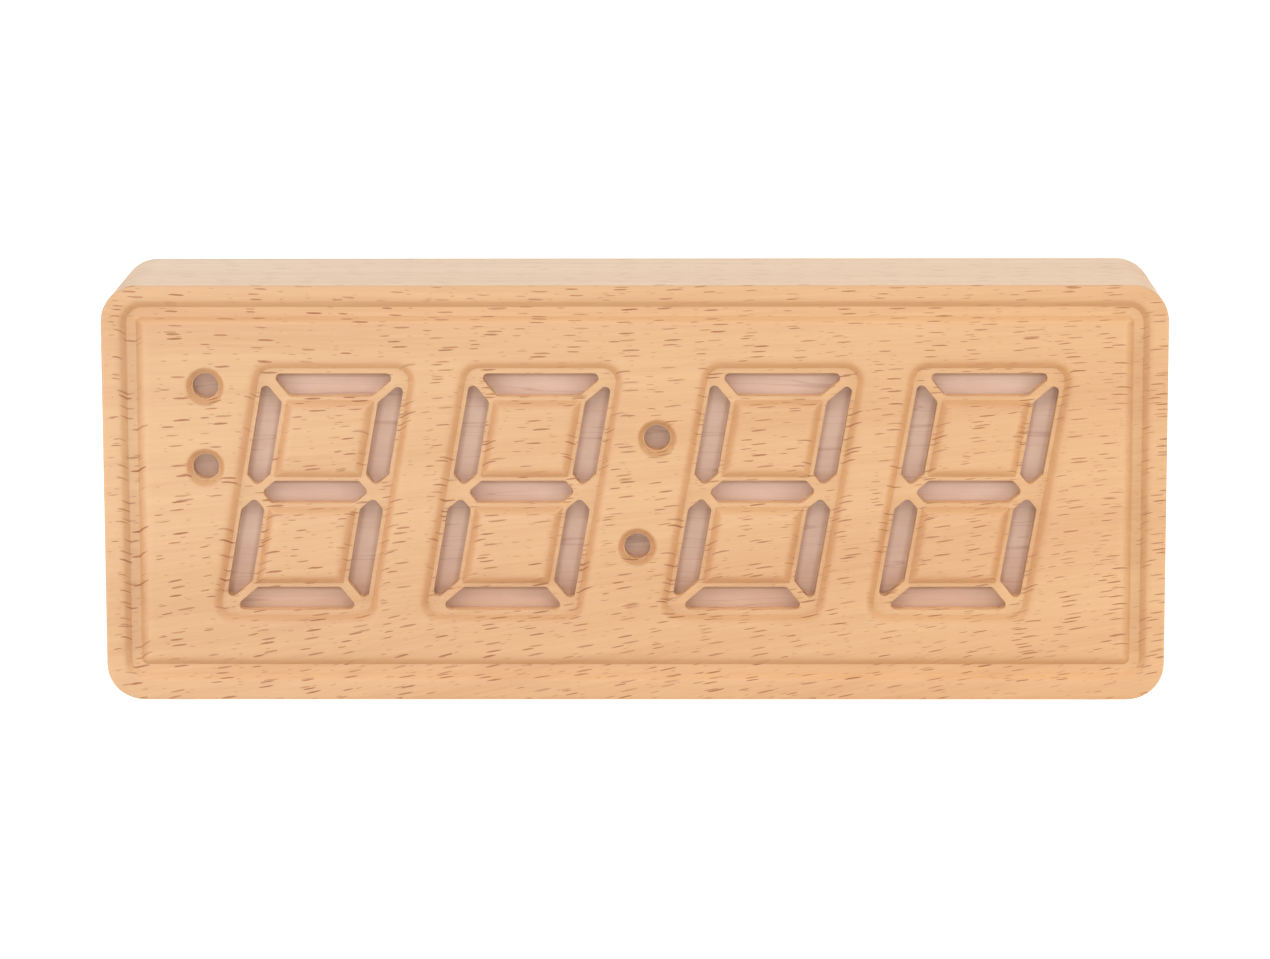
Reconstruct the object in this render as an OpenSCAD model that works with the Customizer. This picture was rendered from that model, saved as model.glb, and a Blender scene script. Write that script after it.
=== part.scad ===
// Desk alarm clock. A routed hardwood block carries slanted seven-segment
// slots; a thin veneer behind them is lit by light-emitting diodes, and a
// recessed cover at the back holds the buttons, the switch, the power inlet,
// the sounder and the coin cell.
// Millimetres. +Z is up and the face looks along -Y. The origin is on the
// table, under the middle of the block.

/* [Case] */
// Width of the wooden block
case_w = 200; // [198:0.5:204]
// Height of the wooden block, without its feet
case_h = 79.2; // [79:0.1:81]
// Depth of the wooden block, front to back
case_d = 40; // [40:0.5:42]
// Radius of the block's corners, seen from the front
corner_r = 7; // [6:0.5:8]
// Height of the rubber feet
foot_h = 0.8; // [0.6:0.1:1]

/* [Face carving] */
// Depth of the border groove and of the digit recesses
carve_d = 1.6; // [1.4:0.05:1.7]
// Slope of the bevelled wall beside a recess, in degrees
bevel_a = 48; // [46:1:52]
// Radius of the wall's rounded top edge
edge_r = 2.2; // [1.8:0.1:2.3]
// From the block's side to the middle of the border groove
groove_inset = 5.6; // [5.5:0.05:5.7]
// Width of the groove's flat floor
groove_floor = 1.8; // [1.7:0.1:2]
// Height of the digits' centre above the block's centre
pattern_up = 0.1; // [0:0.05:0.2]
// Thickness of the front wall, from the face to the veneer
front_wall = 4.5; // [4.3:0.1:4.7]

/* [Digits] */
// Slant of the digits from upright, in degrees
slant = 10; // [8:0.5:11]
// Half width of a digit over its slots
digit_hw = 13.4; // [13.2:0.1:13.5]
// Half height of a digit over its slots
digit_hh = 22.6; // [22.4:0.05:22.7]
// Width of an upright slot
seg_t = 4.4; // [4.2:0.1:4.5]
// Width of the top and bottom slots
bar_t = 4.4; // [4.2:0.1:4.6]
// Width of the middle slot
mid_t = 4.3; // [4.1:0.1:4.5]
// Set-back of a slot's end from the corner joint
web_s = 1.1; // [1:0.05:1.2]
// Width of the flat ledge beside the upright slots
ledge_w = 0.7; // [0.6:0.1:0.8]
// Width of the flat ledge above and below a digit
ledge_v = 0.95; // [0.8:0.05:1]
// Diameter of the round dots
dot_d = 4.9; // [4.6:0.1:5]

/* [Rear cover] */
// Width of the wooden rim around the cover
rim_w = 5.5; // [5.2:0.1:5.8]
// Thickness of the rear cover
cover_t = 2.4; // [2.2:0.1:2.6]
// Depth of the cover's face below the back of the block
cover_sink = 1.6; // [1.4:0.1:1.8]
// Gap between the cover and the wooden rim
cover_gap = 0.3; // [0.2:0.05:0.4]

/* [Controls] */
// Diameter of the push buttons
button_d = 9; // [8:0.5:9.5]
// Distance between neighbouring buttons
button_pitch = 18; // [17:0.5:18.5]
// Travel of a push button
button_travel = 0.5; // [0.3:0.1:0.6]
// Travel of the alarm slider
slide_travel = 3; // [2:0.5:3]
// Turn that frees the coin cell door, in degrees
door_turn = 45; // [40:1:50]

/* [Hidden] */
$fn = 64;

// Planes from front to back
face_y = -case_d / 2;
back_y = case_d / 2;
veneer_y = face_y + front_wall;
diffuser_y = veneer_y + 0.6;
baffle_y = diffuser_y + 1.5;
board_y = baffle_y + 8.5;
parts_y = board_y + 1.6;
cover_out_y = back_y - cover_sink;
cover_in_y = cover_out_y - cover_t;
key_y = cover_in_y - 6.8;
key_back_y = key_y - 1.6;

// Heights
zc = foot_h + case_h / 2;
zp = zc + pattern_up;
sh = tan(slant);

// Digit and dot places across the face
digit_x = [-60.25, -21.3, 24.05, 62.9];
dots = [[-80.6, 20.25], [-80.7, 4.9], [4.25, 10.35], [0.5, -10.35]];

// Hollows behind the face
pocket_hw = 85;
pocket_hh = 25;
hollow_hw = 90;
hollow_hh = 28.4;

// Controls on the cover
button_z = 57;
button_x = [for (k = [0 : 3]) (1.5 - k) * button_pitch];
slide_z = 37;
usb_z = 17.5;
cell_x = -62;
cell_z = 40.4;
buzz_x = 62;
buzz_z = 40.4;
key_screws = [for (x = [-38.5, 38.5], z = [16, 40, 64]) [x, z]];
cover_screws = [[-90, zc - 29.6], [90, zc - 29.6], [-90, zc + 29.6],
                [90, zc + 29.6], [0, zc - 30.4], [0, zc + 30.4]];
board_screws = [for (x = [-87.4, 87.4], z = [-20, 20]) [x, zc + z]];
holder_screw_angles = [30, 150, 270];
lug_angles = [90, 210, 330];

// Routes of the two-wire leads, from plug to solder point
lead_plug_z = 20;
battery_minus = [[-63, 3.4, 20], [-63, 5.4, 20], [-63, 6.3, 21.5], [-62.5, 6.4, 26], [-62, 6.6, 30], [-62, 7.8, 30.8]];
battery_plus = [[-61, 3.4, 20], [-61, 5.4, 20], [-60, 6.3, 21.5], [-53, 6.4, 30], [-51, 6.4, 40], [-55, 6.4, 48], [-61, 6.6, 50.6], [-62, 8, 50.75]];
buzzer_a = [[61, 3.4, 20], [61, 5, 20], [60.8, 5.6, 22], [60, 5.6, 30], [59.6, 5.6, 38], [59.5, 6.8, 40.4]];
buzzer_b = [[63, 3.4, 20], [63, 5, 20], [63.2, 5.6, 22], [64, 5.6, 30], [64.4, 5.6, 38], [64.5, 6.8, 40.4]];

// ---- plane geometry ----
function unit(v) = v / norm(v);

// Rounds every corner of a polygon with true arcs of radius r
function filleted(pts, r, n) = [
  for (i = [0 : len(pts) - 1])
    let (c = pts[i],
         a = pts[(i + len(pts) - 1) % len(pts)],
         b = pts[(i + 1) % len(pts)],
         d1 = unit(a - c), d2 = unit(b - c),
         h = acos(d1 * d2) / 2,
         m = c + unit(d1 + d2) * r / sin(h),
         p = c + d1 * r / tan(h), q = c + d2 * r / tan(h),
         a0 = atan2(p[1] - m[1], p[0] - m[0]),
         a1 = atan2(q[1] - m[1], q[0] - m[0]),
         da = ((a1 - a0 + 540) % 360) - 180)
      for (k = [0 : n]) m + r * [cos(a0 + da * k / n), sin(a0 + da * k / n)]
];

// Moves every side of a convex counter-clockwise polygon outwards by o
function grown(pts, o) = [
  for (i = [0 : len(pts) - 1])
    let (c = pts[i],
         a = pts[(i + len(pts) - 1) % len(pts)],
         b = pts[(i + 1) % len(pts)],
         e1 = unit(c - a), e2 = unit(b - c),
         n1 = [e1[1], -e1[0]], n2 = [e2[1], -e2[0]])
      c + (n1 + n2) * o / (1 + n1 * n2)
];

function rect_pts(hw, hh, z0) = [[-hw, z0 - hh], [hw, z0 - hh], [hw, z0 + hh], [-hw, z0 + hh]];
function rounded(hw, hh, z0, r, n) = filleted(rect_pts(hw, hh, z0), r, n);

// A digit's own upright frame to its slanted place on the face
function leaned(pts, xc) = [for (p = pts) [xc + p[0] + sh * p[1], zp + p[1]]];
function flip_u(pts) = [for (i = [len(pts) - 1 : -1 : 0]) [-pts[i][0], pts[i][1]]];
function flip_v(pts) = [for (i = [len(pts) - 1 : -1 : 0]) [pts[i][0], -pts[i][1]]];

// The seven slots of a digit, each side moved out by e
function slots(e) =
  let (a = digit_hw + e, b = digit_hh + e, t = seg_t + 2 * e, tb = bar_t + 2 * e,
       s = web_s + 0.1 - e * 0.9, sv = web_s - e * 0.9, h = mid_t / 2 + e,
       xm = digit_hw - seg_t / 2 - web_s + e * 1.4,
       top = [[-a + t + s, b - tb], [a - t - s, b - tb], [a - s, b], [-a + s, b]],
       mid = [[-xm, 0], [-xm + h, -h], [xm - h, -h], [xm, 0], [xm - h, h], [-xm + h, h]],
       up = [[-a, t / 2 + sv], [-a + t / 2, sv], [-a + t, t / 2 + sv], [-a + t, b - tb - sv], [-a, b - sv]])
  [top, flip_v(top), mid, up, flip_u(up), flip_v(up), flip_u(flip_v(up))];

// ---- solid helpers ----
module along_y(y0, y1) translate([0, y1, 0]) rotate([90, 0, 0]) linear_extrude(height = y1 - y0) children();
module rod_y(x, z, y0, y1, r) translate([x, y1, z]) rotate([90, 0, 0]) cylinder(h = y1 - y0, r = r);
module cone_y(x, z, y0, y1, r0, r1) translate([x, y1, z]) rotate([90, 0, 0]) cylinder(h = y1 - y0, r1 = r1, r2 = r0);
module block(x0, x1, y0, y1, z0, z1) translate([x0, y0, z0]) cube([x1 - x0, y1 - y0, z1 - z0]);
module slab(hw, hh, z0, r, y0, y1) along_y(y0, y1) polygon(rounded(hw, hh, z0, r, 8));

// A solid through loops of equal length, one loop per depth
module loft_y(loops, ys) {
  n = len(loops[0]);
  m = len(loops);
  polyhedron(
    [for (k = [0 : m - 1]) for (p = loops[k]) [p[0], ys[k], p[1]]],
    concat(
      [[for (i = [n - 1 : -1 : 0]) i]],
      [[for (i = [0 : n - 1]) (m - 1) * n + i]],
      [for (k = [0 : m - 2]) for (i = [0 : n - 1]) let (j = (i + 1) % n)
        each [[k * n + i, k * n + j, (k + 1) * n + j], [k * n + i, (k + 1) * n + j, (k + 1) * n + i]]]
    )
  );
}

// A bevelled wall under a rounded top edge: [how far out, how deep] from the face to the floor
function bevel(d, a, r) =
  let (w = d / tan(a) + r * tan(a / 2))
  concat([for (k = [0, 0.5, 1]) [w - r * sin(a * k), r * (1 - cos(a * k))]], [[0, d]]);
wall = bevel(carve_d, bevel_a, edge_r);
dot_wall = bevel(carve_d, 55, 0.7);
outs = concat([wall[0][0]], [for (p = wall) p[0]]);
cut_y = concat([face_y - 0.5], [for (p = wall) face_y + p[1]]);
keep_y = concat([face_y - 1], [for (p = wall) face_y + p[1]]);

// Everything that the cutter takes out of the face around one digit
module digit_recess(xc) {
  base = leaned(rect_pts(digit_hw + ledge_w, digit_hh + ledge_v, 0), xc);
  u = digit_hw - seg_t - ledge_w;
  v0 = mid_t / 2 + ledge_w;
  v1 = digit_hh - bar_t - ledge_w;
  difference() {
    loft_y([for (o = outs) filleted(grown(base, o), 2.5 + o, 6)], cut_y);
    for (s = [1, -1]) {
      isle = leaned(rect_pts(u, (v1 - v0) / 2, s * (v0 + v1) / 2), xc);
      loft_y([for (o = outs) grown(isle, -o)], keep_y);
      along_y(face_y + carve_d, face_y + carve_d + 0.5) polygon(isle);
    }
  }
}

// The border groove
module groove_cut() {
  hw = case_w / 2 - groove_inset;
  hh = case_h / 2 - groove_inset + 0.15;
  z = zc + 0.25;
  g = groove_floor / 2;
  difference() {
    loft_y([for (o = outs) rounded(hw + g + o, hh + g + o, z, 2.15 + g + o, 6)], cut_y);
    union() {
      loft_y([for (o = outs) rounded(hw - g - o, hh - g - o, z, max(2.15 - g - o, 0.1), 6)], keep_y);
      along_y(face_y + carve_d, face_y + carve_d + 0.5) polygon(rounded(hw - g, hh - g, z, 2.15 - g, 6));
    }
  }
}

// One round dot: a hole with a narrow ledge and a bevelled rim
module dot_cut(x, z) {
  r = dot_d / 2;
  rod_y(x, z, face_y - 0.5, veneer_y + 0.5, r);
  translate([x, face_y, z]) rotate([-90, 0, 0]) rotate_extrude()
    polygon(concat([[0, -0.5], [r + 0.15 + dot_wall[0][0], -0.5]],
      [for (p = dot_wall) [r + 0.15 + p[0], p[1]]],
      [[0, carve_d]]));
}

// A screw along Y: head at y0, shank from y0 to y1
module pan_screw(x, z, y0, y1, rs, rh, hh) {
  s = y1 > y0 ? 1 : -1;
  difference() {
    union() {
      rod_y(x, z, min(y0, y1), max(y0, y1), rs);
      rod_y(x, z, min(y0, y0 - s * hh), max(y0, y0 - s * hh), rh);
    }
    for (a = [0, 90]) translate([x, y0 - s * hh, z]) rotate([0, a, 0])
      cube([rh * 1.2, hh * 1.2, rh * 0.24], center = true);
  }
}

// A round wire along a smooth curve through hand-picked points
function spline(p, i, t) =
  let (a = p[max(i - 1, 0)], b = p[i], c = p[i + 1], d = p[min(i + 2, len(p) - 1)])
  0.5 * ((2 * b) + (c - a) * t + (2 * a - 5 * b + 4 * c - d) * t * t + (3 * b - a - 3 * c + d) * t * t * t);
function route(p, n) = concat([for (i = [0 : len(p) - 2]) for (k = [0 : n - 1]) spline(p, i, k / n)], [p[len(p) - 1]]);
module wire(p, r, n) {
  c = route(p, n);
  m = len(c);
  q = 8;
  pts = [for (i = [0 : m - 1])
    let (t = i == 0 || i == m - 1 ? [0, 1, 0] : unit(c[i + 1] - c[i - 1]),
         u = unit(cross([1, 0, 0], t)), w = cross(t, u))
    for (k = [0 : q - 1]) c[i] + r * (cos(360 * k / q) * u + sin(360 * k / q) * w)];
  polyhedron(pts, concat(
    [[for (k = [0 : q - 1]) k]],
    [[for (k = [q - 1 : -1 : 0]) (m - 1) * q + k]],
    [for (i = [0 : m - 2]) for (k = [0 : q - 1]) let (j = (k + 1) % q)
      each [[i * q + k, (i + 1) * q + k, (i + 1) * q + j], [i * q + k, (i + 1) * q + j, i * q + j]]]));
}

// ---- wooden block and its window ----
module case() color([0.93, 0.75, 0.56]) difference() {
  slab(case_w / 2, case_h / 2, zc, corner_r, face_y, back_y);
  groove_cut();
  for (x = digit_x) digit_recess(x);
  for (x = digit_x) for (s = slots(0))
    along_y(face_y + carve_d - 0.2, veneer_y + 0.5) polygon(filleted(leaned(s, x), 0.95, 4));
  for (d = dots) dot_cut(d[0], zp + d[1]);
  slab(pocket_hw, pocket_hh, zc, 4, veneer_y, board_y + 0.5);
  slab(hollow_hw, hollow_hh, zc, 5, board_y, cover_in_y + 0.5);
  slab(case_w / 2 - rim_w, case_h / 2 - rim_w, zc, 4, cover_in_y, back_y + 0.5);
  for (p = cover_screws) rod_y(p[0], p[1], cover_in_y - 11.5, cover_in_y + 0.5, 1.1);
  for (p = board_screws) rod_y(p[0], p[1], board_y - 8.5, board_y + 0.5, 1.3);
}

module window_veneer() color([0.83, 0.70, 0.63])
  slab(pocket_hw - 0.5, pocket_hh - 0.5, zc, 3.6, veneer_y, diffuser_y);

module diffuser_sheet() color([0.95, 0.95, 0.93])
  slab(pocket_hw - 0.5, pocket_hh - 0.5, zc, 3.6, diffuser_y, baffle_y);

module light_baffle() color([0.96, 0.96, 0.96]) difference() {
  slab(pocket_hw - 0.5, pocket_hh - 0.5, zc, 3.6, baffle_y, board_y);
  for (x = digit_x) for (s = slots(0.25))
    along_y(baffle_y - 0.5, board_y + 0.5) polygon(leaned(s, x));
  for (d = dots) rod_y(d[0], zp + d[1], baffle_y - 0.5, board_y + 0.5, 2.8);
}

// ---- display board ----
module display_board() color([0.10, 0.36, 0.20]) difference() {
  slab(hollow_hw - 0.5, hollow_hh - 0.5, zc, 4.6, board_y, parts_y);
  for (p = board_screws) rod_y(p[0], p[1], board_y - 0.5, parts_y + 0.5, 1.5);
}

// One diode: a white housing with a shallow lens well
module diode(x, z, wx, wz) difference() {
  block(x - wx / 2, x + wx / 2, board_y - 1.2, board_y, z - wz / 2, z + wz / 2);
  cone_y(x, z, board_y - 1.3, board_y - 0.8, 0.85, 0.6);
}

module segment_leds() color([0.98, 0.97, 0.90]) {
  for (xc = digit_x) {
    for (v = [-digit_hh + bar_t / 2, 0, digit_hh - bar_t / 2], u = [-4, 4])
      diode(xc + u + sh * v, zp + v, 3, 2);
    for (s = [-1, 1], v = [-15, -7.5, 7.5, 15])
      diode(xc + s * (digit_hw - seg_t / 2) + sh * v, zp + v, 2, 3);
  }
  for (d = dots) diode(d[0], zp + d[1], 3, 2);
}

module display_board_screws() color([0.75, 0.75, 0.76])
  for (p = board_screws) pan_screw(p[0], p[1], parts_y, board_y - 8, 1.25, 2.2, 1.6);

// A chip with legs along two or four sides, standing on the board
module chip(x, z, hw, hh, t, pins_x, pins_z) {
  block(x - hw, x + hw, parts_y + 0.1, parts_y + 0.1 + t, z - hh, z + hh);
  for (k = [0 : 1 : pins_x - 1], s = [-1, 1]) let (px = x + (k - (pins_x - 1) / 2) * 1.27)
    block(px - 0.22, px + 0.22, parts_y, parts_y + 0.25, min(z + s * hh, z + s * (hh + 1)), max(z + s * hh, z + s * (hh + 1)));
  for (k = [0 : 1 : pins_x - 1], s = [-1, 1]) let (px = x + (k - (pins_x - 1) / 2) * 1.27)
    block(px - 0.22, px + 0.22, parts_y + 0.1, parts_y + 0.5, min(z + s * (hh - 0.2), z + s * (hh + 0.3)), max(z + s * (hh - 0.2), z + s * (hh + 0.3)));
  for (k = [0 : 1 : pins_z - 1], s = [-1, 1]) let (pz = z + (k - (pins_z - 1) / 2) * 1.27)
    block(min(x + s * (hw - 0.2), x + s * (hw + 1)), max(x + s * (hw - 0.2), x + s * (hw + 1)), parts_y + 0.1, parts_y + 0.4, pz - 0.22, pz + 0.22);
}

module microcontroller() color([0.13, 0.13, 0.14]) chip(-24, 42, 5, 5, 1.4, 7, 7);
module led_drivers() color([0.13, 0.13, 0.14]) for (x = [-74, -42, 44, 76]) chip(x, 54, 5, 2.2, 1.6, 8, 0);
module clock_chip() color([0.15, 0.15, 0.16]) chip(26, 46, 2.6, 2.1, 1.5, 4, 0);

module crystal() color([0.80, 0.80, 0.82])
  translate([34, parts_y + 1.6, 42]) {
    cylinder(h = 6.2, r = 1.5);
    translate([0, 0, -0.4]) cylinder(h = 0.4, r = 1.2);
  }

module board_capacitors() color([0.12, 0.14, 0.26]) for (p = [[-20, 58], [20, 60], [-36, 26]]) {
  rod_y(p[0], p[1], parts_y, parts_y + 0.6, 2.9);
  rod_y(p[0], p[1], parts_y + 0.6, parts_y + 1.2, 3.15);
  rod_y(p[0], p[1], parts_y + 1.2, parts_y + 1.6, 2.95);
  rod_y(p[0], p[1], parts_y + 1.6, parts_y + 6.6, 3.15);
}

module lead_headers() color([0.93, 0.91, 0.84]) for (x = [-62, 62]) difference() {
  block(x - 3, x + 3, parts_y, parts_y + 5, lead_plug_z - 2.4, lead_plug_z + 2.4);
  block(x - 2.4, x + 2.4, parts_y + 0.8, parts_y + 5.5, lead_plug_z - 1.8, lead_plug_z + 1.8);
  block(x - 1.5, x + 1.5, parts_y + 2, parts_y + 5.5, lead_plug_z - 3, lead_plug_z - 1.5);
}

module lead_plugs() color([0.96, 0.95, 0.90]) for (x = [-62, 62]) difference() {
  union() {
    block(x - 2.3, x + 2.3, parts_y + 0.9, 3.9, lead_plug_z - 1.7, lead_plug_z + 1.7);
    block(x - 0.7, x + 0.7, parts_y + 2.2, 3.2, lead_plug_z - 2.2, lead_plug_z - 1.6);
  }
  for (s = [-1, 1]) rod_y(x + s, lead_plug_z, 3.4, 4.4, 0.45);
}

// Flat cable sockets: one on each board, both with the mouth downwards
ribbon_z = 26;
module ribbon_sockets() color([0.90, 0.88, 0.80]) {
  difference() {
    block(-7, 7, parts_y, parts_y + 2.2, ribbon_z - 2.5, ribbon_z + 2.5);
    block(-5.2, 5.2, parts_y + 0.8, parts_y + 1.4, ribbon_z - 3, ribbon_z + 1.6);
  }
  difference() {
    block(-7, 7, key_back_y - 2.2, key_back_y, ribbon_z - 2.5, ribbon_z + 2.5);
    block(-5.2, 5.2, key_back_y - 1.4, key_back_y - 0.8, ribbon_z - 3, ribbon_z + 1.6);
  }
}

// The flat cable turns once below the sockets
ribbon_ya = parts_y + 1.1;
ribbon_yb = key_back_y - 1.1;
ribbon_r = (ribbon_yb - ribbon_ya) / 2;
ribbon_turn_z = 18.5;
function ribbon_side(o) = concat(
  [[ribbon_yb + o, ribbon_z + 1]],
  [for (a = [0 : -15 : -180]) [(ribbon_ya + ribbon_yb) / 2, ribbon_turn_z] + (ribbon_r + o) * [cos(a), sin(a)]],
  [[ribbon_ya - o, ribbon_z + 1]]);
module ribbon_cable() color([0.92, 0.92, 0.92]) {
  inner = ribbon_side(-0.15);
  translate([-5, 0, 0]) rotate([90, 0, 90]) linear_extrude(height = 10)
    polygon(concat(ribbon_side(0.15), [for (i = [len(inner) - 1 : -1 : 0]) inner[i]]));
}

// ---- rear cover ----
door_r = 13.7;
lip_r = 12.3;
module wedge(r, half, y0, y1) along_y(y0, y1)
  polygon(concat([[0, 0]], [for (a = [-half : half / 4 : half]) r * [cos(a), sin(a)]]));

module rear_cover() color([0.14, 0.14, 0.15]) difference() {
  union() {
    slab(case_w / 2 - rim_w - cover_gap, case_h / 2 - rim_w - cover_gap, zc, 3.7, cover_in_y, cover_out_y);
    for (p = key_screws) rod_y(p[0], p[1], key_y, cover_in_y + 0.5, 2.8);
    rod_y(cell_x, cell_z, cover_in_y - 4, cover_in_y + 0.5, 16);
    for (a = holder_screw_angles)
      rod_y(cell_x + 18 * cos(a), cell_z + 18 * sin(a), cover_in_y - 4, cover_in_y + 0.5, 2.6);
    rod_y(buzz_x, buzz_z, cover_in_y - 5, cover_in_y + 0.5, 8.6);
    for (s = [-1, 1]) block(-12, 12, cover_in_y - 2.4, cover_in_y + 0.5, slide_z + s * 4.6 - 0.5, slide_z + s * 4.6 + 0.5);
  }
  // screws
  for (p = cover_screws) {
    rod_y(p[0], p[1], cover_in_y - 0.5, cover_out_y + 0.5, 1.35);
    cone_y(p[0], p[1], cover_out_y - 1.3, cover_out_y + 0.1, 1.2, 2.55);
  }
  for (p = key_screws) rod_y(p[0], p[1], key_y - 0.5, cover_in_y - 1.4, 0.95);
  for (a = holder_screw_angles)
    rod_y(cell_x + 18 * cos(a), cell_z + 18 * sin(a), cover_in_y - 4.5, cover_in_y + 0.8, 0.95);
  // buttons, slider and power inlet
  for (x = button_x) rod_y(x, button_z, cover_in_y - 0.5, cover_out_y + 0.5, button_d / 2 + 0.3);
  block(-2.8 - slide_travel / 2, 2.8 + slide_travel / 2, cover_in_y - 0.5, cover_out_y + 0.5, slide_z - 2.3, slide_z + 2.3);
  slab(4.8, 1.95, usb_z, 1.9, cover_in_y - 0.5, cover_out_y + 0.5);
  // sounder seat and its grille
  rod_y(buzz_x, buzz_z, cover_in_y - 5.5, cover_in_y - 1, 7.2);
  rod_y(buzz_x, buzz_z, cover_in_y - 1.5, cover_in_y, 6.6);
  for (i = [-2 : 2], j = [-2 : 2]) let (gx = 2.8 * (i + j / 2), gz = 2.8 * j * sin(60))
    if (norm([gx, gz]) < 5.7) rod_y(buzz_x + gx, buzz_z + gz, cover_in_y - 0.5, cover_out_y + 0.5, 0.85);
  // coin cell well: door seat, opening, entry notches
  rod_y(cell_x, cell_z, cover_in_y - 4.5, cover_in_y, 14.3);
  rod_y(cell_x, cell_z, cover_in_y - 0.5, cover_out_y + 0.5, lip_r);
  rod_y(cell_x, cell_z, cover_in_y + 0.8, cover_out_y + 0.5, door_r + 0.3);
  for (a = lug_angles) translate([cell_x, 0, cell_z]) rotate([0, door_turn - a, 0]) wedge(13.8, 17, cover_in_y - 0.5, cover_in_y + 1);
}

module rear_cover_screws() color([0.22, 0.22, 0.23]) for (p = cover_screws) difference() {
  union() {
    rod_y(p[0], p[1], cover_in_y - 11, cover_out_y - 1, 1.05);
    cone_y(p[0], p[1], cover_out_y - 1.3, cover_out_y - 0.15, 1.05, 2.2);
  }
  for (a = [0, 90]) translate([p[0], cover_out_y - 0.3, p[1]]) rotate([0, a, 0]) cube([2.5, 1.6, 0.5], center = true);
}

// ---- control board on the cover ----
module control_board() color([0.10, 0.36, 0.20]) difference() {
  slab(42, 27.5, 40, 2, key_back_y, key_y);
  for (p = key_screws) rod_y(p[0], p[1], key_back_y - 0.5, key_y + 0.5, 1.15);
}

module control_board_screws() color([0.75, 0.75, 0.76])
  for (p = key_screws) pan_screw(p[0], p[1], key_back_y, key_y + 5, 0.9, 1.9, 1.2);

module button_switches() color([0.16, 0.16, 0.17]) for (x = button_x) difference() {
  union() {
    block(x - 3.1, x + 3.1, key_y, key_y + 3.1, button_z - 3.1, button_z + 3.1);
    block(x - 2.8, x + 2.8, key_y + 3.1, key_y + 3.5, button_z - 2.8, button_z + 2.8);
  }
  rod_y(x, button_z, key_y + 1, key_y + 4, 1.78);
}

module alarm_switch_body() color([0.70, 0.71, 0.72]) difference() {
  block(-5, 5, key_y, key_y + 4, slide_z - 2.5, slide_z + 2.5);
  block(-1.1 - slide_travel / 2, 1.1 + slide_travel / 2, key_y + 2, key_y + 4.5, slide_z - 1.1, slide_z + 1.1);
}

module usb_port_shell() color([0.78, 0.78, 0.80]) difference() {
  slab(4.47, 1.63, usb_z, 1.6, key_y, cover_out_y - 0.4);
  slab(4.17, 1.33, usb_z, 1.3, key_y - 0.5, cover_out_y);
}

module usb_port_insert() color([0.10, 0.10, 0.11]) {
  slab(4.1, 1.26, usb_z, 1.2, key_y, key_y + 2.4);
  block(-3.35, 3.35, key_y + 2.3, cover_out_y - 1.3, usb_z - 0.35, usb_z + 0.35);
}

module voltage_regulator() color([0.14, 0.14, 0.15]) {
  block(-23.3, -16.7, key_y + 0.05, key_y + 1.7, 19.2, 22.8);
  block(-21.6, -18.4, key_y, key_y + 0.35, 22.7, 24.6);
  for (x = [-22.3, -20, -17.7]) block(x - 0.35, x + 0.35, key_y, key_y + 0.35, 17.4, 19.3);
}

module input_capacitor() color([0.80, 0.80, 0.82]) {
  block(17.4, 22.6, key_y, key_y + 1, 18.4, 23.6);
  rod_y(20, 21, key_y + 1, key_y + 5.4, 2.5);
}

// ---- coin cell ----
module coin_cell_holder() color([0.18, 0.18, 0.19]) difference() {
  union() {
    rod_y(cell_x, cell_z, cover_in_y - 6, cover_in_y - 4, 16);
    rod_y(cell_x, cell_z, cover_in_y - 5, cover_in_y - 2, 14);
    for (a = holder_screw_angles)
      rod_y(cell_x + 18 * cos(a), cell_z + 18 * sin(a), cover_in_y - 6, cover_in_y - 4, 2.6);
  }
  rod_y(cell_x, cell_z, cover_in_y - 5.2, cover_in_y, 10.35);
  for (a = holder_screw_angles)
    rod_y(cell_x + 18 * cos(a), cell_z + 18 * sin(a), cover_in_y - 6.5, cover_in_y - 3.5, 1.15);
  // slots for the two contacts
  block(cell_x - 1.3, cell_x + 1.3, cover_in_y - 6.5, cover_in_y - 5, cell_z - 10, cell_z - 9.2);
  block(cell_x - 2.3, cell_x + 2.3, cover_in_y - 6.5, cover_in_y - 1.5, cell_z + 10, cell_z + 10.9);
}

module holder_screws() color([0.75, 0.75, 0.76]) for (a = holder_screw_angles)
  pan_screw(cell_x + 18 * cos(a), cell_z + 18 * sin(a), cover_in_y - 6, cover_in_y - 0.2, 0.9, 1.9, 1.2);

module coin_cell() color([0.82, 0.82, 0.83]) {
  rod_y(cell_x, cell_z, cover_in_y - 4.7, cover_in_y - 4.2, 8.9);
  rod_y(cell_x, cell_z, cover_in_y - 4.2, cover_in_y - 1.5, 10);
}

module negative_contact() color([0.85, 0.80, 0.62]) {
  block(cell_x - 1, cell_x + 1, cover_in_y - 5.2, cover_in_y - 4.9, cell_z - 9.9, cell_z + 3);
  rod_y(cell_x, cell_z + 1, cover_in_y - 4.9, cover_in_y - 4.7, 1.6);
  block(cell_x - 1, cell_x + 1, cover_in_y - 8.2, cover_in_y - 4.9, cell_z - 9.8, cell_z - 9.4);
}

module positive_contact() color([0.85, 0.80, 0.62]) {
  block(cell_x - 2, cell_x + 2, cover_in_y - 6.2, cover_in_y - 2.2, cell_z + 10.2, cell_z + 10.5);
  block(cell_x - 1, cell_x + 1, cover_in_y - 8, cover_in_y - 6, cell_z + 10.2, cell_z + 10.5);
}

module battery_lead() color([0.75, 0.12, 0.12]) {
  wire(battery_minus, 0.45, 4);
  wire(battery_plus, 0.45, 4);
}

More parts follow.
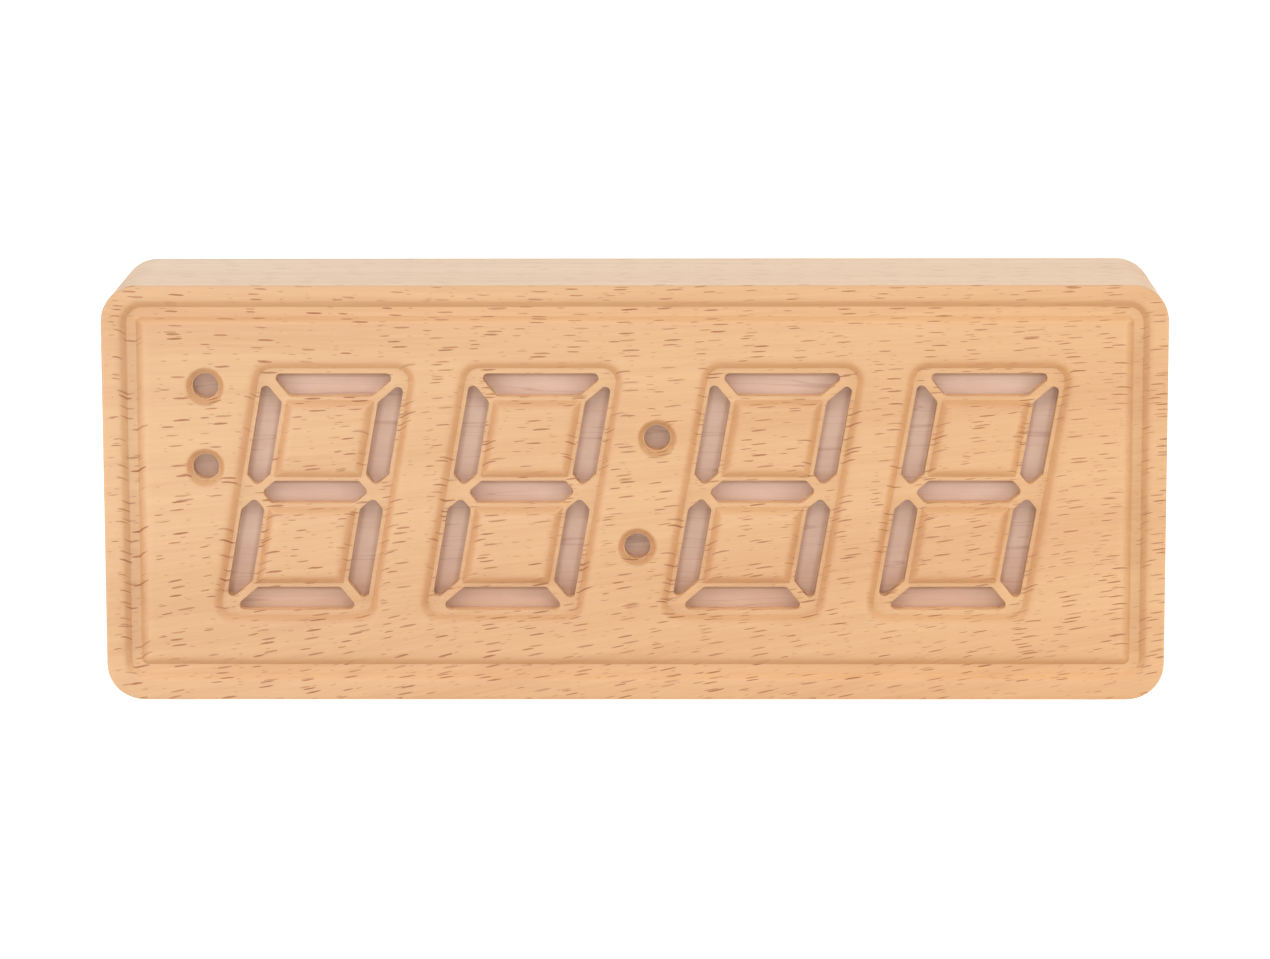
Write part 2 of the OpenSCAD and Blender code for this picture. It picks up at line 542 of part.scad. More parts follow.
// ---- sounder ----
module buzzer() color([0.12, 0.12, 0.13]) difference() {
  union() {
    rod_y(buzz_x, buzz_z, cover_in_y - 8.4, cover_in_y - 1, 7);
    for (s = [-1, 1]) rod_y(buzz_x + s * 2.5, buzz_z, cover_in_y - 9.2, cover_in_y - 8.3, 0.35);
  }
  rod_y(buzz_x, buzz_z, cover_in_y - 2, cover_in_y, 1);
}

module buzzer_lead() color([0.15, 0.15, 0.15]) {
  wire(buzzer_a, 0.45, 4);
  wire(buzzer_b, 0.45, 4);
}

// ---- feet ----
module rubber_feet() color([0.20, 0.20, 0.20]) for (x = [-86, 86], y = [-11.5, 11.5])
  translate([x, y, 0]) { cylinder(h = foot_h, r = 4.3); translate([0, 0, 0.25]) cylinder(h = foot_h - 0.25, r = 4.5); }

// ---- moving pieces ----
module push_button(x) color([0.24, 0.24, 0.25]) difference() {
  union() {
    rod_y(x, button_z, cover_in_y - 1.4, cover_out_y + 1.2, button_d / 2);
    rod_y(x, button_z, cover_in_y - 1.4, cover_in_y - 0.4, button_d / 2 + 1.5);
    rod_y(x, button_z, cover_in_y - 1.9, cover_in_y - 1.3, 1.6);
  }
  // shallow dish in the cap's face
  translate([x, cover_out_y + 1.2 + 29.7, button_z]) sphere(r = 30);
}

module plunger(x) color([0.85, 0.85, 0.83]) {
  rod_y(x, button_z, key_y + 1.7, key_y + 4.9, 1.7);
}

module set_button() push_button(button_x[0]);
module hour_button() push_button(button_x[1]);
module minute_button() push_button(button_x[2]);
module alarm_button() push_button(button_x[3]);
module set_plunger() plunger(button_x[0]);
module hour_plunger() plunger(button_x[1]);
module minute_plunger() plunger(button_x[2]);
module alarm_plunger() plunger(button_x[3]);

slide_x = slide_travel / 2;
module alarm_slider() color([0.24, 0.24, 0.25]) difference() {
  union() {
    block(slide_x - 8.5, slide_x + 8.5, cover_in_y - 1.3, cover_in_y - 0.5, slide_z - 3.8, slide_z + 3.8);
    block(slide_x - 2.5, slide_x + 2.5, cover_in_y - 1, cover_out_y + 1, slide_z - 2, slide_z + 2);
    block(slide_x - 2, slide_x + 2, cover_in_y - 2.5, cover_in_y - 1, slide_z - 2, slide_z + 2);
  }
  block(slide_x - 0.9, slide_x + 0.9, cover_in_y - 3, cover_in_y - 1.2, slide_z - 0.9, slide_z + 0.9);
  for (k = [-1 : 1]) block(slide_x + k * 1.4 - 0.3, slide_x + k * 1.4 + 0.3, cover_out_y + 0.6, cover_out_y + 1.5, slide_z - 3, slide_z + 3);
}

module alarm_switch_lever() color([0.12, 0.12, 0.13])
  block(slide_x - 0.8, slide_x + 0.8, key_y + 2.3, cover_in_y - 1.4, slide_z - 0.8, slide_z + 0.8);

module battery_door() color([0.14, 0.14, 0.15]) difference() {
  union() {
    rod_y(cell_x, cell_z, cover_in_y + 1, cover_out_y - 0.1, door_r);
    rod_y(cell_x, cell_z, cover_in_y - 1.1, cover_in_y + 1.2, lip_r - 0.3);
    intersection() {
      rod_y(cell_x, cell_z, cover_in_y - 1.1, cover_in_y - 0.3, 13.5);
      for (a = lug_angles) translate([cell_x, 0, cell_z]) rotate([0, -a, 0]) wedge(16, 14, cover_in_y - 2, cover_in_y);
    }
  }
  block(cell_x - 1, cell_x + 1, cover_out_y - 1.2, cover_out_y + 1, cell_z - 6.5, cell_z + 6.5);
  rod_y(cell_x, cell_z, cover_in_y - 2, cover_in_y + 0.2, 10.6);
}

case();
window_veneer();
diffuser_sheet();
light_baffle();
display_board();
segment_leds();
display_board_screws();
microcontroller();
led_drivers();
clock_chip();
crystal();
board_capacitors();
lead_headers();
lead_plugs();
ribbon_sockets();
ribbon_cable();
rear_cover();
rear_cover_screws();
control_board();
control_board_screws();
button_switches();
alarm_switch_body();
usb_port_shell();
usb_port_insert();
voltage_regulator();
input_capacitor();
coin_cell_holder();
holder_screws();
coin_cell();
negative_contact();
positive_contact();
battery_lead();
buzzer();
buzzer_lead();
rubber_feet();
set_button();
set_plunger();
hour_button();
hour_plunger();
minute_button();
minute_plunger();
alarm_button();
alarm_plunger();
alarm_slider();
alarm_switch_lever();
battery_door();
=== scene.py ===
import math
import bmesh
import bpy
import numpy as np
from mathutils import Matrix, Vector
from mathutils.geometry import delaunay_2d_cdt


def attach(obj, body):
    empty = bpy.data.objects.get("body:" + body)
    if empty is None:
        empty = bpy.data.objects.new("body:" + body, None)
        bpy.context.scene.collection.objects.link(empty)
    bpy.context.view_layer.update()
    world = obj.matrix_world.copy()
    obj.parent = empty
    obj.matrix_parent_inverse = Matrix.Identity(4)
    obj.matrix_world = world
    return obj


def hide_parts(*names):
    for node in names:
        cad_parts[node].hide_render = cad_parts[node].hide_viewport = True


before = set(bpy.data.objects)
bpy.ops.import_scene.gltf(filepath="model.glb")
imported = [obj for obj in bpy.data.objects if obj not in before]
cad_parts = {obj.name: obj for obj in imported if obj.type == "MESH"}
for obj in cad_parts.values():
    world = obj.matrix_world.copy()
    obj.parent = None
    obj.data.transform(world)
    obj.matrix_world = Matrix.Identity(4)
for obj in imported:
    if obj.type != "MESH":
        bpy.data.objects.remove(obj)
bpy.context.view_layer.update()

# Desk alarm clock in a routed beech block. All lengths below are millimetres
# until a mesh is made; +Z is up and the face looks along -Y.
MM = 0.001

# ---------------------------------------------------------------- sizes
CASE_W, CASE_H, CASE_D = 200.0, 79.2, 40.0
FOOT_H = 0.8
CORNER_R = 7.0
ZC = FOOT_H + CASE_H / 2
ZP, ZG = ZC + 0.1, ZC + 0.25
FACE_Y, BACK_Y = -20.0, 20.0
CARVE, BEVEL = 1.6, math.radians(48)
LEDGE_Y = FACE_Y + CARVE
VENEER_Y, BOARD_Y = -15.5, -4.9
COVER_IN, COVER_OUT = 16.0, 18.4
SH = math.tan(math.radians(10))
DIGIT_X = (-60.25, -21.3, 24.05, 62.9)
HW, HH = 13.4, 22.6
SEG, BAR, MID, WEB, LEDGE, LEDGE_V = 4.4, 4.4, 4.3, 1.1, 0.7, 0.95
DOTS = ((-80.6, 20.25), (-80.7, 4.9), (4.25, 10.35), (0.5, -10.35))
DOT_R = 2.45
BUTTON_X = {"set": 27.0, "hour": 9.0, "minute": -9.0, "alarm": -27.0}
BUTTON_Z = 57.0
SLIDE_X, SLIDE_Z = 1.5, 37.0
USB_Z = 17.5
CELL = (-62.0, 40.4)
BUZZ = (62.0, 40.4)
COVER_SCREWS = ((-90, ZC - 29.6), (90, ZC - 29.6), (-90, ZC + 29.6),
                (90, ZC + 29.6), (0, ZC - 30.4), (0, ZC + 30.4))
BOARD_SCREWS = tuple((x, ZC + z) for x in (-87.4, 87.4) for z in (-20, 20))
KEY_SCREWS = tuple((x, z) for x in (-38.5, 38.5) for z in (16, 40, 64))


# ---------------------------------------------------------------- outlines
def unit2(x, z):
    d = math.hypot(x, z)
    return x / d, z / d


def fillet(pts, r, n, s=0.0):
    """Rounds every corner of a polygon; s adds a point beside each arc so that flats shade flat."""
    out, m = [], len(pts)
    for i in range(m):
        cx, cz = pts[i]
        ax, az = pts[i - 1]
        bx, bz = pts[(i + 1) % m]
        d1, d2 = unit2(ax - cx, az - cz), unit2(bx - cx, bz - cz)
        h = math.acos(max(-1.0, min(1.0, d1[0] * d2[0] + d1[1] * d2[1]))) / 2
        t, q = r / math.tan(h), r / math.sin(h)
        mx, mz = unit2(d1[0] + d2[0], d1[1] + d2[1])
        ox, oz = cx + mx * q, cz + mz * q
        px, pz = cx + d1[0] * t, cz + d1[1] * t
        ex, ez = cx + d2[0] * t, cz + d2[1] * t
        a0 = math.atan2(pz - oz, px - ox)
        da = (math.atan2(ez - oz, ex - ox) - a0 + 3 * math.pi) % (2 * math.pi) - math.pi
        if s:
            out.append((px + d1[0] * s, pz + d1[1] * s))
        out += [(ox + r * math.cos(a0 + da * k / n), oz + r * math.sin(a0 + da * k / n)) for k in range(n + 1)]
        if s:
            out.append((ex + d2[0] * s, ez + d2[1] * s))
    return out


def grow(pts, o):
    """Moves every side of a counter-clockwise polygon outwards by o."""
    out, m = [], len(pts)
    for i in range(m):
        cx, cz = pts[i]
        ax, az = pts[i - 1]
        bx, bz = pts[(i + 1) % m]
        e1, e2 = unit2(cx - ax, cz - az), unit2(bx - cx, bz - cz)
        n1, n2 = (e1[1], -e1[0]), (e2[1], -e2[0])
        k = o / (1 + n1[0] * n2[0] + n1[1] * n2[1])
        out.append((cx + (n1[0] + n2[0]) * k, cz + (n1[1] + n2[1]) * k))
    return out


def rect(hw, hh, x0=0.0, z0=0.0):
    return [(x0 - hw, z0 - hh), (x0 + hw, z0 - hh), (x0 + hw, z0 + hh), (x0 - hw, z0 + hh)]


def rrect(hw, hh, r, x0=0.0, z0=0.0, n=8, s=0.0):
    return fillet(rect(hw, hh, x0, z0), r, n, s)


def circle(x0, z0, r, n=48, a0=0.0):
    return [(x0 + r * math.cos(a0 + 2 * math.pi * k / n), z0 + r * math.sin(a0 + 2 * math.pi * k / n)) for k in range(n)]


def lean(pts, xc):
    return [(xc + u + SH * v, ZP + v) for u, v in pts]


def slots():
    """The seven slots of a digit in its own upright frame."""
    s, sv, h = WEB + 0.1, WEB, MID / 2
    xm = HW - SEG / 2 - WEB
    top = [(-HW + SEG + s, HH - BAR), (HW - SEG - s, HH - BAR), (HW - s, HH), (-HW + s, HH)]
    mid = [(-xm, 0), (-xm + h, -h), (xm - h, -h), (xm, 0), (xm - h, h), (-xm + h, h)]
    up = [(-HW, SEG / 2 + sv), (-HW + SEG / 2, sv), (-HW + SEG, SEG / 2 + sv), (-HW + SEG, HH - BAR - sv), (-HW, HH - sv)]
    fu = lambda p: [(-u, v) for u, v in reversed(p)]
    fv = lambda p: [(u, -v) for u, v in reversed(p)]
    return [top, fv(top), mid, up, fu(up), fv(up), fu(fv(up))]


# ---------------------------------------------------------------- meshes
class Build:
    """Collects closed shells from rings of points, in millimetres."""

    def __init__(self):
        self.co, self.faces, self.mat = [], [], []
        self.use = 0

    def ring(self, pts, y, axis=1):
        base = len(self.co)
        for u, v in pts:
            self.co.append({0: (y, u, v), 1: (u, y, v), 2: (u, v, y)}[axis])
        return list(range(base, base + len(pts)))

    def face(self, ids):
        self.faces.append(tuple(ids))
        self.mat.append(self.use)

    def strip(self, a, b):
        n = len(a)
        for i in range(n):
            j = (i + 1) % n
            self.face((a[i], a[j], b[j], b[i]))

    def strips(self, rings):
        for a, b in zip(rings, rings[1:]):
            self.strip(a, b)

    def cap(self, *loops, axis=1):
        """Fills a flat region between loops; loops inside loops alternate between hole and solid."""
        u, v = ((1, 2), (0, 2), (0, 1))[axis]
        ids = [i for l in loops for i in l]
        pts = [Vector((self.co[i][u], self.co[i][v])) for i in ids]
        edges, k = [], 0
        for l in loops:
            edges += [(k + j, k + (j + 1) % len(l)) for j in range(len(l))]
            k += len(l)
        vo, eo, fo, ov, oe, of = delaunay_2d_cdt(pts, edges, [], 0, 1e-7)
        ea = np.array([pts[a] for a, b in edges])
        eb = np.array([pts[b] for a, b in edges])
        tri = np.array([f for f in fo if len(f) == 3])
        c = np.array([list(p) for p in vo])[tri].mean(axis=1)
        straddle = (ea[None, :, 1] > c[:, None, 1]) != (eb[None, :, 1] > c[:, None, 1])
        dz = eb[:, 1] - ea[:, 1]
        dz[dz == 0] = 1e-12
        cross = (eb[:, 0] - ea[:, 0])[None] * (c[:, None, 1] - ea[None, :, 1]) / dz[None] + ea[None, :, 0]
        inside = (straddle & (c[:, None, 0] < cross)).sum(axis=1) % 2 == 1
        for t in tri[inside]:
            w = [ids[ov[i][0]] for i in t]
            if len(set(w)) == 3:
                self.face(w)

    def lathe(self, x0, z0, prof, n=48, axis=1):
        """A closed solid of revolution from (radius, height) points; ends at radius 0 become points."""
        rings = []
        for r, y in prof:
            if r < 1e-6:
                self.co.append({1: (x0, y, z0), 2: (x0, z0, y)}[axis])
                rings.append([len(self.co) - 1])
            else:
                rings.append(self.ring(circle(x0, z0, r, n), y, axis))
        for a, b in zip(rings, rings[1:]):
            if len(a) == 1 and len(b) == 1:
                continue
            if len(a) == 1 or len(b) == 1:
                p, q = (a[0], b) if len(a) == 1 else (b[0], a)
                for i in range(len(q)):
                    self.face((p, q[i], q[(i + 1) % len(q)]))
            else:
                self.strip(a, b)
        return rings

    def prism(self, pts, a, b, axis=1, e=0.0, n=3):
        """A straight solid on an outline with eased end edges."""
        rings = []
        for k in range(n + 1):
            t = math.pi / 2 * k / n
            rings.append(self.ring(grow(pts, -e * (1 - math.sin(t))) if e else pts, a + e * (1 - math.cos(t)), axis))
            if not e:
                break
        for k in range(n, -1, -1):
            t = math.pi / 2 * k / n
            rings.append(self.ring(grow(pts, -e * (1 - math.sin(t))) if e else pts, b - e * (1 - math.cos(t)), axis))
            if not e:
                break
        self.strips(rings)
        self.cap(rings[0], axis=axis)
        self.cap(rings[-1], axis=axis)

    def make(self, name, mats, body, nodes=(), angle=32.0):
        me = bpy.data.meshes.new(name)
        me.from_pydata([(x * MM, y * MM, z * MM) for x, y, z in self.co], [], self.faces)
        me.polygons.foreach_set("material_index", self.mat)
        bm = bmesh.new()
        bm.from_mesh(me)
        bmesh.ops.recalc_face_normals(bm, faces=bm.faces)
        bm.to_mesh(me)
        bm.free()
        me.shade_smooth()
        me.set_sharp_from_angle(angle=math.radians(angle))
        for m in mats:
            me.materials.append(m)
        ob = bpy.data.objects.new(name, me)
        bpy.context.scene.collection.objects.link(ob)
        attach(ob, body)
        if nodes:
            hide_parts(*nodes)
        return ob


def arc_in(e, n=4):
    """Steps over a rounded edge: (inset, drop) from the flat's rim to the side wall."""
    return [(e * (1 - math.sin(math.pi / 2 * k / n)), e * (1 - math.cos(math.pi / 2 * k / n))) for k in range(n + 1)]


# ---------------------------------------------------------------- materials
def lin(r, g, b):
    f = lambda c: (c / 255 / 12.92) if c / 255 <= 0.04045 else ((c / 255 + 0.055) / 1.055) ** 2.4
    return (f(r), f(g), f(b), 1.0)


class Mat:
    """A small wrapper around one node tree."""

    def __init__(self, name):
        self.m = bpy.data.materials.new(name)
        self.m.use_nodes = True
        self.t = self.m.node_tree
        self.t.nodes.clear()
        self.out = self.t.nodes.new("ShaderNodeOutputMaterial")
        self.bsdf = self.t.nodes.new("ShaderNodeBsdfPrincipled")
        self.t.links.new(self.bsdf.outputs[0], self.out.inputs[0])

    def put(self, sock, v):
        if isinstance(v, bpy.types.NodeSocket):
            self.t.links.new(v, sock)
        elif v is not None:
            sock.default_value = v

    def set(self, **kw):
        for k, v in kw.items():
            self.put(self.bsdf.inputs[k.replace("_", " ")], v)

    def coords(self):
        """Object coordinates in millimetres, as x, y, z and a vector."""
        tc = self.t.nodes.new("ShaderNodeTexCoord")
        sc = self.t.nodes.new("ShaderNodeVectorMath")
        sc.operation = "SCALE"
        self.put(sc.inputs[0], tc.outputs["Object"])
        sc.inputs["Scale"].default_value = 1000.0
        sep = self.t.nodes.new("ShaderNodeSeparateXYZ")
        self.put(sep.inputs[0], sc.outputs[0])
        return sep.outputs[0], sep.outputs[1], sep.outputs[2], sc.outputs[0]

    def math(self, op, a, b=None, c=None, clamp=False):
        n = self.t.nodes.new("ShaderNodeMath")
        n.operation = op
        n.use_clamp = clamp
        for i, v in enumerate((a, b, c)):
            if v is not None:
                self.put(n.inputs[i], v)
        return n.outputs[0]

    def vec(self, x, y, z):
        n = self.t.nodes.new("ShaderNodeCombineXYZ")
        for i, v in enumerate((x, y, z)):
            self.put(n.inputs[i], v)
        return n.outputs[0]

    def scaled(self, v, x, y, z):
        n = self.t.nodes.new("ShaderNodeVectorMath")
        n.operation = "MULTIPLY"
        self.put(n.inputs[0], v)
        n.inputs[1].default_value = (x, y, z)
        return n.outputs[0]

    def noise(self, v, scale=1.0, detail=2.0, rough=0.5, distort=0.0):
        n = self.t.nodes.new("ShaderNodeTexNoise")
        self.put(n.inputs["Vector"], v)
        n.inputs["Scale"].default_value = scale
        n.inputs["Detail"].default_value = detail
        n.inputs["Roughness"].default_value = rough
        n.inputs["Distortion"].default_value = distort
        return n.outputs[0]

    def voronoi(self, v, scale=1.0, feature="F1", rand=1.0, dims="3D"):
        n = self.t.nodes.new("ShaderNodeTexVoronoi")
        n.voronoi_dimensions = dims
        n.feature = feature
        self.put(n.inputs["Vector"], v)
        n.inputs["Scale"].default_value = scale
        n.inputs["Randomness"].default_value = rand
        return n

    def span(self, v, a, b, lo=0.0, hi=1.0, smooth=True):
        n = self.t.nodes.new("ShaderNodeMapRange")
        n.interpolation_type = "SMOOTHSTEP" if smooth else "LINEAR"
        n.clamp = True
        for i, x in enumerate((v, a, b, lo, hi)):
            self.put(n.inputs[i], x)
        return n.outputs[0]

    def mix(self, f, a, b, kind="MIX"):
        n = self.t.nodes.new("ShaderNodeMix")
        n.data_type = "RGBA"
        n.blend_type = kind
        self.put(n.inputs[0], f)
        self.put(n.inputs[6], a)
        self.put(n.inputs[7], b)
        return n.outputs[2]

    def ramp(self, f, stops):
        n = self.t.nodes.new("ShaderNodeValToRGB")
        e = n.color_ramp.elements
        while len(e) < len(stops):
            e.new(0.5)
        for k, (p, c) in enumerate(stops):
            e[k].position = p
            e[k].color = c
        self.put(n.inputs[0], f)
        return n.outputs[0]

    def bump(self, height, mm, strength=1.0, normal=None):
        n = self.t.nodes.new("ShaderNodeBump")
        n.inputs["Strength"].default_value = strength
        n.inputs["Distance"].default_value = mm * MM
        self.put(n.inputs["Height"], height)
        if normal is not None:
            self.put(n.inputs["Normal"], normal)
        return n.outputs[0]


def beech():
    """Rift-sawn beech as a solid pattern: fine grain along X, ray flecks in sheets that lean down into the block."""
    m = Mat("beech_solid")
    x, y, z, v = m.coords()
    zr = m.math("SUBTRACT", z, ZC)
    # slope of the grain: level near the top, climbing to the right lower down
    slope = m.math("MULTIPLY_ADD", zr, -0.0024, 0.105)
    lift = m.math("MULTIPLY", x, slope)
    lift = m.math("MULTIPLY_ADD", m.math("MULTIPLY", x, x), 0.0002, lift)
    wav = m.noise(m.scaled(v, 0.021, 0.03, 0.035), 1.0, 1.0)
    lift = m.math("MULTIPLY_ADD", wav, 3.0, lift)
    zg = m.math("SUBTRACT", zr, lift)
    tau = m.math("MULTIPLY_ADD", y, 0.5, m.math("MULTIPLY", zg, 0.866))
    rho = m.math("MULTIPLY_ADD", zg, -0.5, m.math("MULTIPLY", y, 0.866))
    g = m.vec(x, tau, rho)

    # a cut along the sheets opens them up pale instead of showing their ends
    geo = m.t.nodes.new("ShaderNodeNewGeometry")
    dot = m.t.nodes.new("ShaderNodeVectorMath")
    dot.operation = "DOT_PRODUCT"
    m.put(dot.inputs[0], geo.outputs["Normal"])
    dot.inputs[1].default_value = (0.0, 0.5, 0.866)
    along = m.span(m.math("ABSOLUTE", dot.outputs["Value"]), 0.72, 0.97, 1.0, 0.2)
    # on the sawn ends they are only faint streaks
    nsep = m.t.nodes.new("ShaderNodeSeparateXYZ")
    m.put(nsep.inputs[0], geo.outputs["Normal"])
    along = m.math("MULTIPLY", along, m.span(m.math("ABSOLUTE", nsep.outputs[0]), 0.72, 0.95, 1.0, 0.12))

    # ray flecks: a main set and a finer, paler one
    small = m.noise(m.scaled(g, 0.35, 1.2, 0.1), 1.0, 2.0)
    jx = m.math("MULTIPLY_ADD", small, 0.9, x)
    gf = m.vec(jx, m.math("MULTIPLY_ADD", small, 0.24, tau), rho)
    f1 = m.voronoi(m.scaled(gf, 1 / 8.4, 1 / 0.72, 0.0), dims="2D")
    c1 = m.t.nodes.new("ShaderNodeSeparateColor")
    m.put(c1.inputs[0], f1.outputs["Color"])
    size1 = m.span(c1.outputs[0], 0.38, 1.0, 0.10, 0.21, smooth=False)
    on1 = m.math("GREATER_THAN", c1.outputs[0], 0.38)
    edge1 = m.math("SUBTRACT", size1, f1.outputs["Distance"])
    fleck1 = m.math("MULTIPLY", m.math("MULTIPLY", m.span(edge1, -0.004, 0.022), on1), along)
    fleck1 = m.math("MULTIPLY", fleck1, m.span(c1.outputs[1], 0.0, 1.0, 0.5, 1.0, smooth=False))
    f2 = m.voronoi(m.scaled(gf, 1 / 4.6, 1 / 0.62, 0.0), dims="2D")
    c2 = m.t.nodes.new("ShaderNodeSeparateColor")
    m.put(c2.inputs[0], f2.outputs["Color"])
    on2 = m.math("GREATER_THAN", c2.outputs[0], 0.55)
    edge2 = m.math("SUBTRACT", m.span(c2.outputs[1], 0.0, 1.0, 0.07, 0.15, smooth=False), f2.outputs["Distance"])
    fleck2 = m.math("MULTIPLY", m.math("MULTIPLY", m.span(edge2, -0.012, 0.035), on2), along)

    # grain lines, pores and broad tone
    fine = m.noise(m.scaled(g, 0.05, 2.1, 0.55), 1.0, 3.0, 0.55)
    pore = m.noise(m.scaled(g, 0.24, 8.5, 2.6), 1.0, 2.0, 0.6)
    broad = m.noise(m.scaled(g, 0.006, 0.10, 0.09), 1.0, 2.0)
    rings = m.noise(m.scaled(g, 0.004, 0.03, 0.42), 1.0, 2.0, 0.6)

    tone = m.math("MULTIPLY_ADD", m.math("SUBTRACT", broad, 0.5), 0.65, 0.5)
    tone = m.math("MULTIPLY_ADD", m.math("SUBTRACT", rings, 0.5), 0.55, tone)
    tone = m.math("MULTIPLY_ADD", m.math("SUBTRACT", fine, 0.5), 0.55, tone)
    tone = m.math("MULTIPLY_ADD", m.math("SUBTRACT", pore, 0.5), 0.34, tone)
    wood = m.ramp(tone, ((0.05, WOOD_DARK), (0.5, WOOD_MID), (0.95, WOOD_LIGHT)))
    # the board is warmer at one end; the sloping walls the cutter left are darker, partly the deeper tone of their end
    # grain and partly painted shade
    wood = m.mix(m.span(x, -95.0, 100.0), wood, m.mix(1.0, wood, (1.0, 0.965, 0.87, 1.0), "MULTIPLY"))
    cut = m.math("MULTIPLY", m.span(y, FACE_Y + 0.08, FACE_Y + 0.6), m.span(y, LEDGE_Y - 0.12, LEDGE_Y - 0.02, 1.0, 0.0))
    inside = m.math("MULTIPLY", m.span(m.math("ABSOLUTE", x), CASE_W / 2 - 1.9, CASE_W / 2 - 1.2, 1.0, 0.0),
                    m.span(m.math("ABSOLUTE", zr), CASE_H / 2 - 1.8, CASE_H / 2 - 1.1, 1.0, 0.0))
    cut = m.math("MULTIPLY", cut, inside)
    field = m.math("MULTIPLY", m.span(m.math("ABSOLUTE", x), 87.0, 89.5, 1.0, 0.0), m.span(m.math("ABSOLUTE", zr), 28.5, 30.5, 1.0, 0.0))
    # painted light: up-facing carved walls lightened, less so in the digits' area
    pale = m.math("MULTIPLY", cut, m.math("SUBTRACT", m.span(nsep.outputs[2], 0.15, 0.6), m.math("MULTIPLY", field, 0.65), clamp=True))
    wood = m.mix(pale, wood, m.mix(1.0, wood, UP_WALL_LIGHT_TINT, "MULTIPLY"))
    across = m.span(m.math("ABSOLUTE", nsep.outputs[0]), 0.15, 0.5, 0.35, 1.0)
    # painted shade: the walls of the digits and dots darkened more than those of the border groove
    field = m.math("MULTIPLY", field, cut)
    # painted shade: the carved walls darkened most where they face sideways, less where they face down and not where
    # they face up
    cut = m.math("MULTIPLY", m.math("MULTIPLY", cut, across), m.span(nsep.outputs[2], 0.1, 0.6, 1.0, 0.0))
    wood = m.mix(cut, wood, m.mix(1.0, wood, CUT_WALL_SHADE_TINT, "MULTIPLY"))
    wood = m.mix(field, wood, m.mix(1.0, wood, DIGIT_WALL_SHADE_TINT, "MULTIPLY"))
    # painted light: the floors of the top and bottom border grooves lightened
    bed = m.math("MULTIPLY", m.span(y, LEDGE_Y - 0.12, LEDGE_Y - 0.02), m.span(y, LEDGE_Y + 0.3, LEDGE_Y + 0.5, 1.0, 0.0))
    bed = m.math("MULTIPLY", m.math("MULTIPLY", bed, inside), m.span(m.math("ABSOLUTE", zr), 30.0, 31.5))
    wood = m.mix(bed, wood, m.mix(1.0, wood, GROOVE_FLOOR_LIGHT_TINT, "MULTIPLY"))
    # painted light: the up-facing lower walls of the slots lightened
    sill = m.math("MULTIPLY", m.span(y, LEDGE_Y + 0.05, LEDGE_Y + 0.2), m.span(y, VENEER_Y, VENEER_Y + 0.5, 1.0, 0.0))
    sill = m.math("MULTIPLY", m.math("MULTIPLY", sill, inside), m.span(nsep.outputs[2], 0.5, 0.95))
    wood = m.mix(sill, wood, m.mix(1.0, wood, SLOT_SILL_LIGHT_TINT, "MULTIPLY"))
    qx = m.math("MAXIMUM", m.math("SUBTRACT", m.math("ABSOLUTE", x), CASE_W / 2 - CORNER_R), 0.0)
    qz = m.math("MAXIMUM", m.math("SUBTRACT", m.math("ABSOLUTE", zr), CASE_H / 2 - CORNER_R), 0.0)
    rim = m.math("SQRT", m.math("MULTIPLY_ADD", qx, qx, m.math("MULTIPLY", qz, qz)))
    # painted sheen: the top, bottom and ends paler and greyer than the face
    flank = m.span(m.math("ABSOLUTE", nsep.outputs[1]), 0.2, 0.7, 1.0, 0.0)
    flank = m.math("MULTIPLY", flank, m.span(rim, CORNER_R - 0.7, CORNER_R - 0.2))
    wood = m.mix(flank, wood, m.mix(1.0, wood, GRAZING_SHEEN_TINT, "MULTIPLY"))
    # painted light: the block lighter towards the bottom, against the shade near the floor
    wood = m.mix(m.span(zr, -38.0, 30.0, 1.0, 0.0, smooth=False), wood, m.mix(1.0, wood, LOW_FILL_LIGHT_TINT, "MULTIPLY"))
    col = m.mix(m.math("MULTIPLY", fleck2, 0.42), wood, FLECK)
    col = m.mix(m.math("MULTIPLY", fleck1, 0.94), col, FLECK)
    # one pin knot low on the face
    kx = m.math("MULTIPLY", m.math("ADD", x, 0.6), 0.62)
    kz = m.math("MULTIPLY", m.math("ADD", zr, 21.4), 1.25)
    kd = m.math("SQRT", m.math("MULTIPLY_ADD", kx, kx, m.math("MULTIPLY", kz, kz)))
    kd = m.math("MULTIPLY_ADD", m.math("SUBTRACT", small, 0.5), 0.9, kd)
    knot = m.math("MULTIPLY", m.span(kd, 0.25, 1.25, 0.4, 0.0), m.span(y, FACE_Y + 3.0, FACE_Y + 6.0, 1.0, 0.0))
    col = m.mix(knot, col, KNOT)
    rough = m.math("MULTIPLY_ADD", fine, 0.16, m.math("MULTIPLY_ADD", fleck1, -0.08, 0.46))
    h = m.math("MULTIPLY_ADD", fleck1, -0.55, m.math("MULTIPLY_ADD", pore, 0.5, m.math("MULTIPLY", fine, 0.4)))
    m.set(Base_Color=col, Roughness=rough, Normal=m.bump(h, 0.018))
    m.bsdf.inputs["IOR"].default_value = 1.5
    return m.m


